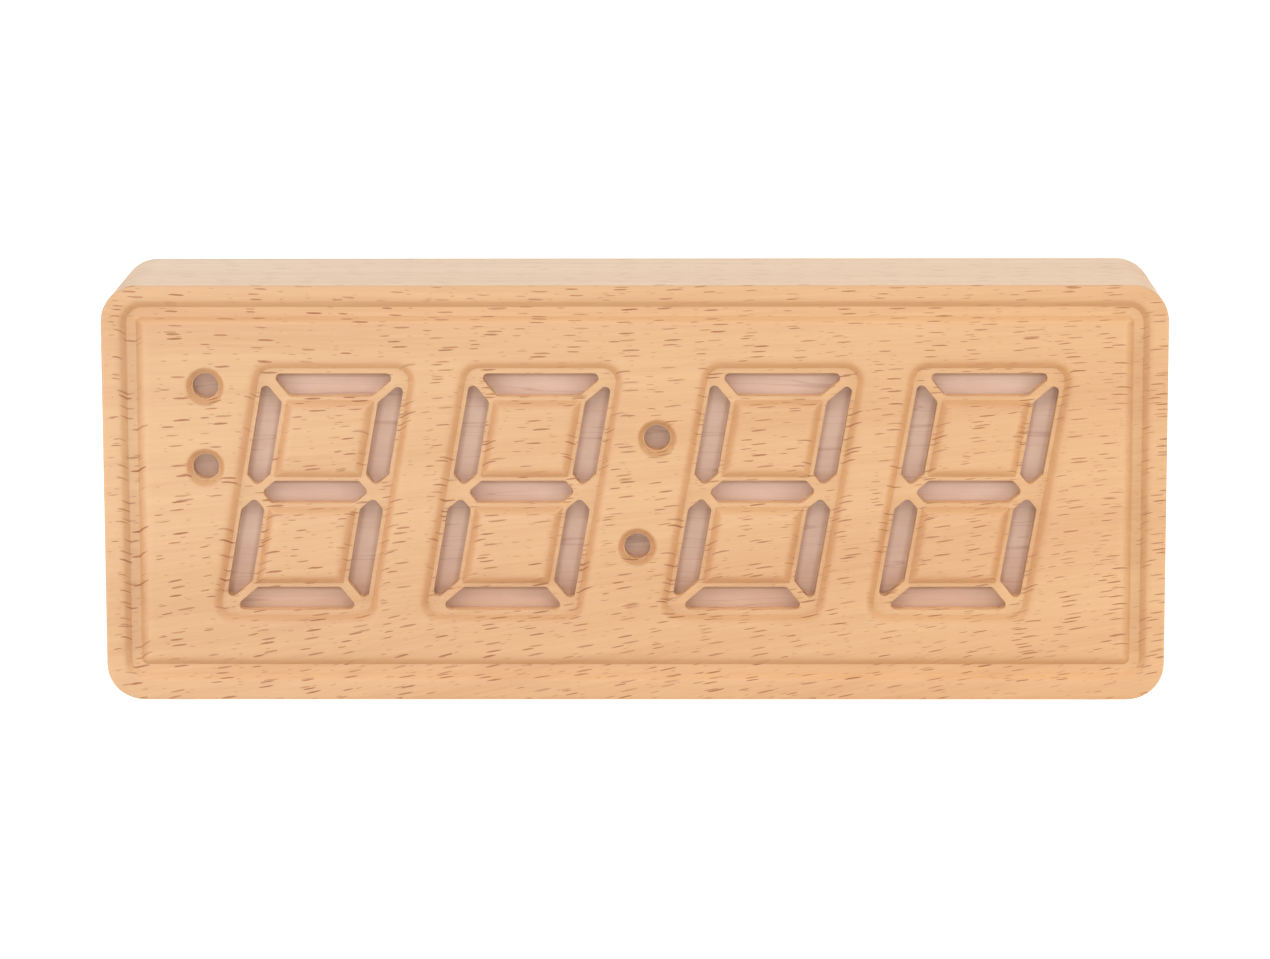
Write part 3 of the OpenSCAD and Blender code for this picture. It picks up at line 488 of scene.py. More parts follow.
def veneer():
    """Thin pinkish sliced veneer behind the slots, with fine level grain lines."""
    m = Mat("window_veneer_wood")
    x, y, z, v = m.coords()
    wav = m.noise(m.scaled(v, 0.02, 0.0, 0.04), 1.0, 2.0)
    zz = m.math("MULTIPLY_ADD", wav, 3.0, z)
    g = m.vec(x, zz, 0.0)
    fine = m.noise(m.scaled(g, 0.04, 1.1, 0.0), 1.0, 3.0, 0.55)
    pore = m.noise(m.scaled(g, 0.18, 6.0, 0.0), 1.0, 2.0, 0.6)
    broad = m.noise(m.scaled(g, 0.09, 0.2, 0.0), 1.0, 3.0, 0.55)
    line = m.noise(m.scaled(g, 0.012, 0.42, 0.0), 1.0, 1.0)
    dark = m.span(m.math("ABSOLUTE", m.math("SUBTRACT", line, 0.5)), 0.0, 0.012, 1.0, 0.0)
    tone = m.math("MULTIPLY_ADD", m.math("SUBTRACT", fine, 0.5), 0.45, m.math("MULTIPLY_ADD", m.math("SUBTRACT", broad, 0.5), 1.1, 0.5))
    tone = m.math("MULTIPLY_ADD", m.math("SUBTRACT", pore, 0.5), 0.16, tone)
    col = m.ramp(tone, ((0.0, VENEER_DARK), (0.5, VENEER_MID), (1.0, VENEER_LIGHT)))
    col = m.mix(m.math("MULTIPLY", dark, 0.35), col, VENEER_LINE)
    # painted shade and warm bounce: the veneer darker and warmer towards the bottom
    col = m.mix(m.span(z, ZC - 19.0, ZC - 8.0, 1.0, 0.0), col, m.mix(1.0, col, (0.97, 0.91, 0.84, 1.0), "MULTIPLY"))
    # painted shadow: brown shade along the sides of the upright slots and under the tops of the level ones
    vz = m.math("SUBTRACT", z, ZP)
    av = m.math("ABSOLUTE", vz)
    xs = m.math("SUBTRACT", x, m.math("MULTIPLY", vz, SH))
    u = m.math("ABSOLUTE", m.math("SUBTRACT", xs, DIGIT_X[0]))
    for xc in DIGIT_X[1:]:
        u = m.math("MINIMUM", u, m.math("ABSOLUTE", m.math("SUBTRACT", xs, xc)))
    mitre = m.math("SUBTRACT", m.math("SUBTRACT", u, HW - SEG), m.math("SUBTRACT", av, HH - BAR))
    upright = m.math("MULTIPLY", m.span(u, HW - SEG - 0.35, HW - SEG - 0.15), m.span(mitre, -0.3, 0.3))
    upright = m.math("MULTIPLY", upright, m.math("MULTIPLY", m.span(av, 1.0, 1.3), m.span(u, HW + 0.1, HW + 0.6, 1.0, 0.0)))
    inset = m.math("SUBTRACT", SEG / 2, m.math("ABSOLUTE", m.math("SUBTRACT", u, HW - SEG / 2)))
    side = m.math("MULTIPLY", m.span(inset, 0.45, 1.3, 0.55, 0.0), upright)
    head = m.math("MULTIPLY_ADD", m.math("GREATER_THAN", vz, -10.0), MID / 2 + HH - BAR, BAR - HH)
    head = m.math("MULTIPLY_ADD", m.math("GREATER_THAN", vz, 10.0), HH - MID / 2, head)
    shade = m.span(m.math("SUBTRACT", head, vz), 0.6, 1.25, 1.0, 0.0)
    shade = m.math("MULTIPLY", shade, m.math("MULTIPLY", m.math("SUBTRACT", 1.0, upright), m.span(u, HW, HW + 1.0, 1.0, 0.0)))
    col = m.mix(m.math("MAXIMUM", side, shade), col, m.mix(1.0, col, SLOT_SHADOW_TINT, "MULTIPLY"))
    m.set(Base_Color=col, Roughness=m.math("MULTIPLY_ADD", fine, 0.15, 0.45), Normal=m.bump(m.math("ADD", pore, fine), 0.008))
    return m.m


def moulded(name, dark, light, rough=0.5, grain=0.28, depth=0.012, gloss=0.12):
    """Moulded plastic with a spark-eroded texture and slight handling gloss."""
    m = Mat(name)
    x, y, z, v = m.coords()
    pits = m.voronoi(v, 1 / grain)
    fine = m.noise(v, 2.2 / grain, 3.0, 0.6)
    rub = m.noise(m.scaled(v, 0.05, 0.05, 0.05), 1.0, 3.0, 0.55)
    smear = m.noise(m.scaled(v, 0.35, 0.35, 0.35), 1.0, 3.0, 0.6)
    h = m.math("ADD", pits.outputs["Distance"], m.math("MULTIPLY", fine, 0.6))
    tone = m.math("ADD", m.math("MULTIPLY", rub, 0.55), m.math("MULTIPLY", fine, 0.45))
    col = m.ramp(tone, ((0.25, dark), (0.75, light)))
    r = m.math("MULTIPLY_ADD", m.math("SUBTRACT", rub, 0.5), gloss * 2, m.math("MULTIPLY_ADD", m.math("SUBTRACT", smear, 0.5), gloss, rough))
    m.set(Base_Color=col, Roughness=r, Normal=m.bump(h, depth))
    return m.m


def metal(name, dark, light, rough=0.3, sx=0.3, sy=6.0, sz=6.0, depth=0.004):
    """Plated metal with drawn lines and small stains."""
    m = Mat(name)
    x, y, z, v = m.coords()
    line = m.noise(m.scaled(v, sx, sy, sz), 1.0, 3.0, 0.6)
    stain = m.noise(m.scaled(v, 0.5, 0.5, 0.5), 1.0, 4.0, 0.6)
    col = m.ramp(m.math("ADD", m.math("MULTIPLY", line, 0.5), m.math("MULTIPLY", stain, 0.5)), ((0.3, dark), (0.7, light)))
    r = m.math("MULTIPLY_ADD", stain, 0.22, m.math("MULTIPLY_ADD", line, 0.12, rough - 0.15))
    m.set(Base_Color=col, Metallic=1.0, Roughness=r, Normal=m.bump(line, depth))
    return m.m


def board():
    """Green solder mask with buried tracks and tinned pads."""
    m = Mat("solder_mask")
    x, y, z, v = m.coords()
    wv = m.t.nodes.new("ShaderNodeTexBrick")
    m.put(wv.inputs["Vector"], m.vec(m.math("MULTIPLY", x, 0.16), m.math("MULTIPLY", z, 0.16), 0.0))
    wv.offset = 0.37
    wv.inputs["Scale"].default_value = 1.0
    wv.inputs["Mortar Size"].default_value = 0.035
    wv.inputs["Mortar Smooth"].default_value = 0.3
    wv.inputs["Brick Width"].default_value = 1.3
    wv.inputs["Row Height"].default_value = 0.32
    track = wv.outputs["Fac"]
    dots = m.voronoi(m.scaled(v, 0.28, 0.0, 0.28), 1.0, rand=0.7)
    pad = m.span(dots.outputs["Distance"], 0.10, 0.13, 1.0, 0.0)
    ringd = m.span(dots.outputs["Distance"], 0.045, 0.055, 0.0, 1.0)
    tone = m.noise(m.scaled(v, 0.15, 0.15, 0.15), 1.0, 3.0)
    col = m.ramp(tone, ((0.3, lin(18, 78, 44)), (0.7, lin(24, 96, 54))))
    col = m.mix(m.math("MULTIPLY", track, 0.7), col, lin(52, 132, 70))
    col = m.mix(m.math("MULTIPLY", pad, ringd), col, lin(198, 196, 186))
    m.set(Base_Color=col, Roughness=m.math("MULTIPLY_ADD", pad, -0.1, 0.36), Metallic=m.math("MULTIPLY", pad, ringd),
          Normal=m.bump(m.math("ADD", track, pad), 0.03))
    return m.m


def rubber():
    m = Mat("foot_rubber_skin")
    x, y, z, v = m.coords()
    fine = m.noise(v, 5.0, 4.0, 0.65)
    dust = m.noise(v, 0.8, 4.0, 0.6)
    col = m.ramp(m.math("ADD", m.math("MULTIPLY", fine, 0.4), m.math("MULTIPLY", dust, 0.6)), ((0.3, lin(30, 30, 31)), (0.75, lin(52, 51, 50))))
    m.set(Base_Color=col, Roughness=m.math("MULTIPLY_ADD", dust, 0.2, 0.62), Normal=m.bump(fine, 0.02))
    return m.m


def opal():
    m = Mat("opal_diffuser")
    x, y, z, v = m.coords()
    fine = m.noise(v, 3.0, 3.0, 0.6)
    cloud = m.noise(m.scaled(v, 0.08, 0.08, 0.08), 1.0, 3.0)
    col = m.ramp(cloud, ((0.3, lin(232, 232, 227)), (0.7, lin(244, 244, 241))))
    m.set(Base_Color=col, Roughness=m.math("MULTIPLY_ADD", fine, 0.2, 0.4), Normal=m.bump(fine, 0.01))
    m.bsdf.inputs["Transmission Weight"].default_value = 0.25
    return m.m


def ribbon():
    """Flat white cable with its ten conductors showing as ribs."""
    m = Mat("ribbon_jacket")
    x, y, z, v = m.coords()
    w = m.math("SINE", m.math("MULTIPLY", x, 2 * math.pi))
    line = m.span(w, 0.2, 0.9)
    cloud = m.noise(v, 0.7, 3.0)
    col = m.mix(m.math("MULTIPLY", line, 0.35), m.ramp(cloud, ((0.3, lin(226, 226, 224)), (0.7, lin(240, 240, 238)))), lin(196, 190, 176))
    m.set(Base_Color=col, Roughness=m.math("MULTIPLY_ADD", cloud, 0.15, 0.35), Normal=m.bump(w, 0.05))
    return m.m


def printed():
    """White pad-printed ink with a slightly uneven edge-to-edge cover."""
    m = Mat("printed_ink")
    x, y, z, v = m.coords()
    thin = m.noise(v, 3.5, 4.0, 0.65)
    col = m.ramp(thin, ((0.25, lin(186, 187, 188)), (0.6, lin(214, 214, 213))))
    m.set(Base_Color=col, Roughness=m.math("MULTIPLY_ADD", thin, 0.2, 0.42), Normal=m.bump(thin, 0.006))
    return m.m


WOOD_DARK, WOOD_MID, WOOD_LIGHT = lin(172, 129, 91), lin(184, 145, 107), lin(192, 157, 119)
FLECK = lin(137, 80, 43)
KNOT = lin(150, 88, 58)
# the tints below paint shade, light and sheen onto the carved block
CUT_WALL_SHADE_TINT = (0.945, 0.885, 0.81, 1.0)
UP_WALL_LIGHT_TINT = (1.13, 1.125, 1.1, 1.0)
DIGIT_WALL_SHADE_TINT = (0.985, 0.925, 0.865, 1.0)
GROOVE_FLOOR_LIGHT_TINT = (1.06, 1.065, 1.06, 1.0)
SLOT_SILL_LIGHT_TINT = (1.4, 1.42, 1.42, 1.0)
GRAZING_SHEEN_TINT = (1.1, 1.3, 1.66, 1.0)
LOW_FILL_LIGHT_TINT = (1.07, 1.075, 1.095, 1.0)
VENEER_DARK, VENEER_MID, VENEER_LIGHT = lin(187, 154, 136), lin(198, 168, 150), lin(206, 181, 165)
VENEER_LINE = lin(150, 113, 95)
# painted shadow along the edges of the slots on the veneer
SLOT_SHADOW_TINT = (0.76, 0.66, 0.55, 1.0)

BEECH = beech()
VENEER = veneer()
OPAL = opal()
WHITE = moulded("white_styrene", lin(232, 233, 232), lin(244, 244, 243), 0.42, 0.5, 0.008)
BOARD = board()
LEDS = moulded("diode_housing", lin(240, 236, 216), lin(250, 248, 236), 0.35, 0.3, 0.004)
ZINC = metal("zinc_plated", lin(176, 178, 180), lin(208, 209, 210), 0.32)
BLACK_STEEL = metal("black_zinc", lin(36, 36, 38), lin(58, 58, 60), 0.42)
NICKEL = metal("nickel_plated", lin(188, 186, 180), lin(222, 220, 214), 0.24, 6.0, 0.4, 6.0)
CHIP = moulded("epoxy_package", lin(26, 26, 28), lin(38, 38, 40), 0.55, 0.2, 0.01)
SLEEVE = moulded("capacitor_wrap", lin(24, 28, 58), lin(36, 42, 78), 0.3, 0.6, 0.004)
IVORY = moulded("nylon_ivory", lin(226, 219, 198), lin(238, 232, 214), 0.45, 0.4, 0.006)
RIBBON = ribbon()
BLACK = moulded("black_abs", lin(24, 24, 25), lin(34, 34, 35), 0.56, 0.24, 0.016)
KEY = moulded("key_abs", lin(46, 46, 48), lin(60, 60, 62), 0.48, 0.3, 0.008)
BRASS = metal("contact_plating", lin(196, 164, 92), lin(224, 196, 128), 0.26)
RED = moulded("red_pvc", lin(168, 26, 24), lin(196, 38, 34), 0.38, 0.5, 0.004)
BLACKWIRE = moulded("black_pvc", lin(26, 26, 27), lin(40, 40, 41), 0.38, 0.5, 0.004)
RUBBER = rubber()
INK = printed()


# ---------------------------------------------------------------- wooden block
def bevel(d, a, r, n, s=0.3):
    """A straight bevel under a rounded top edge: (distance out, depth) from the face down to the floor."""
    w = d / math.tan(a) + r * math.tan(a / 2)
    out = [(w + s, 0.0)] + [(w - r * math.sin(a * k / n), r * (1 - math.cos(a * k / n))) for k in range(n + 1)]
    x, y = out[-1]
    return out + [(x * 0.8, y + (d - y) * 0.2), (0.0, d)]


def make_case():
    b = Build()
    sup = 0.6
    prof = bevel(CARVE, BEVEL, 2.9, 10)

    # outside, front to back
    e = 0.55
    outer = [b.ring(rrect(CASE_W / 2 - e - 0.25, CASE_H / 2 - e - 0.25, CORNER_R - e - 0.25, 0, ZC, 14, sup), FACE_Y)]
    outer += [b.ring(rrect(CASE_W / 2 - i, CASE_H / 2 - i, CORNER_R - i, 0, ZC, 14, sup), FACE_Y + d) for i, d in arc_in(e, 5)]
    outer += [b.ring(rrect(CASE_W / 2, CASE_H / 2, CORNER_R, 0, ZC, 14, sup), FACE_Y + e + 0.3)]
    outer += [b.ring(rrect(CASE_W / 2, CASE_H / 2, CORNER_R, 0, ZC, 14, sup), BACK_Y - e - 0.3)]
    outer += [b.ring(rrect(CASE_W / 2 - i, CASE_H / 2 - i, CORNER_R - i, 0, ZC, 14, sup), BACK_Y - d) for i, d in reversed(arc_in(e, 5))]
    outer += [b.ring(rrect(CASE_W / 2 - e - 0.25, CASE_H / 2 - e - 0.25, CORNER_R - e - 0.25, 0, ZC, 14, sup), BACK_Y)]
    b.strips(outer)

    # border groove
    hw, hh, g = CASE_W / 2 - 5.6, CASE_H / 2 - 5.45, 0.9
    # its inner edge is eased a little more than the outer one
    go = [b.ring(rrect(hw + g + o, hh + g + o, 2.15 + g + o, 0, ZG, 10, sup), FACE_Y + d) for o, d in bevel(CARVE, BEVEL, 1.9, 10)]
    gi = [b.ring(rrect(hw - g - o, hh - g - o, max(2.15 - g - o, 0.3), 0, ZG, 8, sup), FACE_Y + d) for o, d in bevel(CARVE, BEVEL, 3.0, 10)]
    b.strips(go)
    b.strips(gi)
    b.cap(go[-1], gi[-1])
    b.cap(outer[0], go[0])

    # digits
    holes, cut = [], []
    for xc in DIGIT_X:
        base = lean(rect(HW + LEDGE, HH + LEDGE_V), xc)
        wall = [b.ring(fillet(grow(base, o), 2.5 + o, 10, sup), FACE_Y + d) for o, d in bevel(CARVE, BEVEL, 2.7, 10, 0.15)]
        b.strips(wall)
        holes.append(wall[0])
        inside = [wall[-1]]
        u, v0, v1 = HW - SEG - LEDGE, MID / 2 + LEDGE, HH - BAR - LEDGE
        for s in (1, -1):
            isle = lean(rect(u, (v1 - v0) / 2, 0, s * (v0 + v1) / 2), xc)
            up = [b.ring(fillet(grow(isle, -o), 0.22, 5, 0.4), FACE_Y + d) for o, d in prof]
            b.strips(up)
            b.cap(up[0])
            inside.append(up[-1])
        for sl in slots():
            pts = lean(sl, xc)
            ed = 0.07
            rim = [b.ring(fillet(grow(pts, i), 0.95 + i, 7, 0.25), LEDGE_Y + d) for i, d in arc_in(ed, 3)]
            low = b.ring(fillet(pts, 0.95, 7, 0.25), VENEER_Y)
            b.strips(rim + [low])
            inside.append(rim[0])
            cut.append(low)
        b.cap(*inside)

    # round dots
    for dx, dz in DOTS:
        z0 = ZP + dz
        wall = [b.ring(circle(dx, z0, DOT_R + 0.15 + o, 56), FACE_Y + d) for o, d in bevel(CARVE, math.radians(55), 0.7, 8, 0.15)]
        ed = 0.07
        rim = [b.ring(circle(dx, z0, DOT_R + i, 56), LEDGE_Y + d) for i, d in arc_in(ed, 3)]
        low = b.ring(circle(dx, z0, DOT_R, 56), VENEER_Y)
        b.strips(wall + rim + [low])
        holes.append(wall[0])
        cut.append(low)
    b.cap(gi[0], *holes)

    # hollows behind the face
    pocket = [b.ring(rrect(85, 25, 4, 0, ZC), y) for y in (VENEER_Y, BOARD_Y)]
    hollow = [b.ring(rrect(90, 28.4, 5, 0, ZC), y) for y in (BOARD_Y, COVER_IN)]
    er = 0.4
    rebate = [b.ring(rrect(94.5, 34.1, 4, 0, ZC), COVER_IN)]
    rebate += [b.ring(rrect(94.5 + i, 34.1 + i, 4 + i, 0, ZC), BACK_Y - d) for i, d in reversed(arc_in(er, 4))]
    rebate += [b.ring(rrect(94.5 + er + 0.25, 34.1 + er + 0.25, 4 + er + 0.25, 0, ZC), BACK_Y)]
    b.strips(pocket)
    b.strips(hollow)
    b.strips(rebate)
    b.cap(pocket[0], *cut)

    def blind(pts, y0, y1, r):
        mouths = []
        for px, pz in pts:
            a, c = b.ring(circle(px, pz, r, 20), y0), b.ring(circle(px, pz, r, 20), y1)
            b.strip(a, c)
            b.cap(c)
            mouths.append(a)
        return mouths

    b.cap(pocket[1], hollow[0], *blind(BOARD_SCREWS, BOARD_Y, BOARD_Y - 8.5, 1.3))
    b.cap(hollow[1], rebate[0], *blind(COVER_SCREWS, COVER_IN, COVER_IN - 11.5, 1.1))
    b.cap(rebate[-1], outer[-1])
    return b.make("wooden_block", [BEECH], "clock", ["case"], 30)


make_case()


# ---------------------------------------------------------------- rear cover
def make_cover():
    b = Build()
    e = 0.4
    side = [b.ring(rrect(94.2 - e - 0.15, 33.8 - e - 0.15, 3.7 - e - 0.15, 0, ZC, 8, 0.5), COVER_OUT)]
    side += [b.ring(rrect(94.2 - i, 33.8 - i, 3.7 - i, 0, ZC, 8, 0.5), COVER_OUT - d) for i, d in arc_in(e, 4)]
    side += [b.ring(rrect(94.2, 33.8, 3.7, 0, ZC, 8, 0.5), COVER_IN + 0.2), b.ring(rrect(94.0, 33.6, 3.5, 0, ZC, 8, 0.5), COVER_IN)]
    b.strips(side)
    out_loops, in_loops = [side[0]], [side[-1]]

    def through(shape, ease, low=COVER_IN):
        """A hole with a rounded mouth; shape(o) is its outline moved out by o."""
        rings = [b.ring(shape(ease + 0.12), COVER_OUT)]
        rings += [b.ring(shape(i), COVER_OUT - d) for i, d in arc_in(ease, 3)]
        rings.append(b.ring(shape(0), low))
        b.strips(rings)
        out_loops.append(rings[0])
        return rings[-1]

    for px, pz in COVER_SCREWS:
        prof = [(2.62, 18.4), (2.48, 18.36), (2.38, 18.27), (1.35, 17.25), (1.35, COVER_IN)]
        rings = [b.ring(circle(px, pz, r, 40), y) for r, y in prof]
        b.strips(rings)
        out_loops.append(rings[0])
        in_loops.append(rings[-1])
    for px in BUTTON_X.values():
        in_loops.append(through(lambda o, px=px: circle(px, BUTTON_Z, 4.8 + o, 56), 0.35))
    in_loops.append(through(lambda o: rrect(4.3 + o, 2.3 + o, 0.35 + o, 0, SLIDE_Z, 5), 0.3))
    in_loops.append(through(lambda o: rrect(4.8 + o, 1.95 + o, 1.9 + o, 0, USB_Z, 10), 0.35))

    # sounder grille opens into the sounder's seat
    grille = []
    for i in range(-2, 3):
        for j in range(-2, 3):
            gx, gz = 2.8 * (i + j / 2), 2.8 * j * math.sin(math.radians(60))
            if math.hypot(gx, gz) < 5.7:
                grille.append(through(lambda o, gx=gx, gz=gz: circle(BUZZ[0] + gx, BUZZ[1] + gz, 0.85 + o, 24), 0.2))
    seat = [b.ring(circle(BUZZ[0], BUZZ[1], r, 56), y) for r, y in ((6.6, 16.0), (6.6, 15.0), (7.2, 15.0), (7.2, 11.2), (7.4, 11.0), (8.4, 11.0), (8.6, 11.2), (8.6, 16.0))]
    b.strips(seat)
    in_loops += [seat[0], seat[-1]] + grille

    # coin cell well: stepped seat, opening with three entry notches, and a wall behind
    def notched(r0, r1):
        pts = []
        for k in range(120):
            a = 3.0 * k
            d = min(abs((a - (90 - 45 + 120 * q) + 180) % 360 - 180) for q in range(3))
            r = r1 if d <= 17 else r0
            pts.append((CELL[0] + r * math.cos(math.radians(a)), CELL[1] + r * math.sin(math.radians(a))))
        return pts
    well = [b.ring(circle(CELL[0], CELL[1], r, 96), y) for r, y in ((14.5, 18.4), (14.34, 18.37), (14.1, 18.25), (14.0, 18.05), (14.0, 16.8))]
    b.strips(well)
    out_loops.append(well[0])
    lip = [b.ring(notched(12.3, 13.8), y) for y in (16.8, COVER_IN)]
    b.strips(lip)
    b.cap(well[-1], lip[0])
    ears = []
    half = math.degrees(math.acos((18 ** 2 + 16 ** 2 - 2.6 ** 2) / (2 * 18 * 16)))
    for a in (30, 150, 270):
        bx, bz = 18 * math.cos(math.radians(a)), 18 * math.sin(math.radians(a))
        s = math.atan2(16 * math.sin(math.radians(a - half)) - bz, 16 * math.cos(math.radians(a - half)) - bx)
        t = math.atan2(16 * math.sin(math.radians(a + half)) - bz, 16 * math.cos(math.radians(a + half)) - bx)
        turn = (t - s) % (2 * math.pi)
        ears += [(CELL[0] + bx + 2.6 * math.cos(s + turn * k / 16), CELL[1] + bz + 2.6 * math.sin(s + turn * k / 16)) for k in range(17)]
        ears += [(CELL[0] + 16 * math.cos(math.radians(q)), CELL[1] + 16 * math.sin(math.radians(q))) for q in [a + half + (120 - 2 * half) * k / 24 for k in range(1, 24)]]
    wo = [b.ring(ears, y) for y in (COVER_IN, COVER_IN - 4)]
    wi = [b.ring(circle(CELL[0], CELL[1], 14.3, 96), y) for y in (COVER_IN, COVER_IN - 4)]
    b.strips(wo)
    b.strips(wi)
    pilots = []
    for a in (30, 150, 270):
        px, pz = CELL[0] + 18 * math.cos(math.radians(a)), CELL[1] + 18 * math.sin(math.radians(a))
        p = [b.ring(circle(px, pz, 0.95, 16), y) for y in (COVER_IN - 4, COVER_IN + 0.8)]
        b.strips(p)
        b.cap(p[-1])
        pilots.append(p[0])
    b.cap(wo[-1], wi[-1], *pilots)
    in_loops += [wo[0], wi[0], lip[-1]]

    # posts for the control board and rails for the slider
    for px, pz in KEY_SCREWS:
        p = [b.ring(circle(px, pz, r, 32), y) for r, y in ((2.8, COVER_IN), (2.8, 9.4), (2.6, 9.2), (0.95, 9.2), (0.95, 14.6))]
        b.strips(p)
        b.cap(p[-1])
        in_loops.append(p[0])
    for s in (-1, 1):
        p = [b.ring(rrect(12 - o, 0.5 - o, 0.15, 0, SLIDE_Z + 4.6 * s, 3), y) for o, y in ((0, COVER_IN), (0, 13.75), (0.1, 13.6))]
        b.strips(p)
        b.cap(p[-1])
        in_loops.append(p[0])
    b.cap(*out_loops)
    b.cap(*in_loops)
    return b.make("rear_cover_shell", [BLACK], "clock", ["rear_cover"], 30)


make_cover()


# ---------------------------------------------------------------- fasteners
def cross_pts(x0, z0, hl, hw, turn, r=0.0):
    p = [(hw, hw), (hw, hl), (-hw, hl), (-hw, hw), (-hl, hw), (-hl, -hw), (-hw, -hw), (-hw, -hl), (hw, -hl), (hw, -hw), (hl, -hw), (hl, hw)]
    c, s = math.cos(turn), math.sin(turn)
    return [(x0 + c * u - s * v, z0 + s * u + c * v) for u, v in p]


def make_cover_screws():
    b = Build()
    turns = (0.3, 1.1, 0.7, 0.15, 0.95, 0.5)
    for (px, pz), t in zip(COVER_SCREWS, turns):
        prof = [(1.95, 18.25), (2.12, 18.21), (2.2, 18.13), (2.17, 18.05), (1.05, 16.95)]
        y = 16.8
        while y > 6.6:  # rolled thread below the head
            prof += [(1.02, y), (1.05, y - 0.12), (0.86, y - 0.42), (0.86, y - 0.5)]
            y -= 0.8
        prof += [(0.8, y), (0.4, 5.2), (0.0, 5.0)]
        rings = b.lathe(px, pz, prof, 32)
        top = b.ring(cross_pts(px, pz, 1.25, 0.31, t), 18.25)
        mid = b.ring(cross_pts(px, pz, 1.18, 0.26, t), 18.12)
        low = b.ring(cross_pts(px, pz, 0.85, 0.19, t), 17.4)
        b.strips([top, mid, low])
        b.cap(low)
        b.cap(rings[0], top)
    return b.make("cover_screws_countersunk", [BLACK_STEEL], "clock", ["rear_cover_screws"], 30)


make_cover_screws()


# ---------------------------------------------------------------- buttons, slider, door
def make_button(name, x0):
    b = Build()
    prof = [(0.0, 14.1), (1.5, 14.1), (1.6, 14.2), (1.6, 14.6), (5.85, 14.6), (6.0, 14.75), (6.0, 15.45), (5.85, 15.6), (4.5, 15.6), (4.5, 19.0)]
    e = 0.55
    prof += [(4.5 - e + e * math.cos(t), 19.05 + (e - 0.02) * math.sin(t)) for t in [math.pi / 2 * k / 6 for k in range(1, 7)]]
    dish = 3.85
    for k in range(8):
        r = dish * (1 - k / 8)
        prof.append((r, 19.3 + 0.27 * (r / dish) ** 2))
    prof.append((0.0, 19.3))
    b.lathe(x0, BUTTON_Z, prof, 64)
    return b.make(name + "_button_cap", [KEY], name + "_key", [name + "_button"], 35)


for key, bx in BUTTON_X.items():
    make_button(key, bx)


def make_slider():
    b = Build()
    x0 = SLIDE_X
    # shield plate that closes the window, then the ribbed knob, then the fork behind
    b.prism(rrect(8.5, 3.8, 0.4, x0, SLIDE_Z, 4), 14.7, 15.5, 1, 0.15)
    top = 19.4
    ribs = [(-2.5, 15.4), (2.5, 15.4), (2.5, top)]
    for cx in (1.4, 0.0, -1.4):
        ribs += [(cx + 0.38, top), (cx + 0.22, top - 0.42), (cx - 0.22, top - 0.42), (cx - 0.38, top)]
    ribs += [(-2.5, top)]
    ribs = [(x0 + u, v) for u, v in ribs]
    b.prism(ribs, SLIDE_Z - 2, SLIDE_Z + 2, 2, 0.12)
    fork = rrect(2, 2, 0.2, x0, SLIDE_Z, 3)
    bore = rrect(0.9, 0.9, 0.1, x0, SLIDE_Z, 3)
    fo = [b.ring(fork, y) for y in (14.75, 13.5)]
    bo = [b.ring(bore, y) for y in (13.5, 14.75)]
    b.strips(fo)
    b.strips(bo)
    b.cap(fo[1], bo[0])
    b.cap(fo[0], bo[1])
    return b.make("alarm_slider_knob", [KEY], "alarm_slide", ["alarm_slider"], 30)


make_slider()


def make_door():
    b = Build()
    cx, cz = CELL
    e = 0.35
    outer = [(13.7 - e - 0.3, 18.3)] + [(13.7 - i, 18.3 - d) for i, d in arc_in(e, 4)] + [(13.7, 17.15), (13.55, 17.0), (12.0, 17.0), (12.0, 15.0), (11.9, 14.9), (10.7, 14.9), (10.6, 15.0), (10.6, 16.2), (0.0, 16.2)]
    rings = b.lathe(cx, cz, outer, 96)
    coin = lambda o: [(cx + u, cz + v) for u, v in
                      [((1.0 + o) * math.cos(t), 5.5 + (1.0 + o) * math.sin(t)) for t in [math.pi * k / 12 for k in range(13)]] +
                      [((1.0 + o) * math.cos(t), -5.5 + (1.0 + o) * math.sin(t)) for t in [math.pi + math.pi * k / 12 for k in range(13)]]]
    slot = [b.ring(coin(0.34), 18.3)] + [b.ring(coin(i), 18.3 - d) for i, d in arc_in(0.25, 3)] + [b.ring(coin(0), 17.3), b.ring(coin(-0.1), 17.2)]
    b.strips(slot)
    b.cap(slot[-1])
    # shallow ring around the slot, worn smooth by fingers
    ring_o = [b.ring(circle(cx, cz, r, 96), y) for r, y in ((11.6, 18.3), (11.45, 18.27), (11.3, 18.18), (11.0, 18.18), (10.85, 18.27), (10.7, 18.3))]
    b.strips(ring_o)
    b.cap(rings[0], ring_o[0])
    b.cap(ring_o[-1], slot[0])
    for a in (90, 210, 330):
        r0, r1 = 11.8, 13.5
        arc = [math.radians(a - 14 + 28 * k / 8) for k in range(9)]
        pts = [(cx + r1 * math.cos(t), cz + r1 * math.sin(t)) for t in arc] + [(cx + r0 * math.cos(t), cz + r0 * math.sin(t)) for t in reversed(arc)]
        b.prism(pts, 14.9, 15.7, 1, 0.1, 2)
    return b.make("battery_door_cap", [BLACK], "cell_door", ["battery_door"], 30)


make_door()


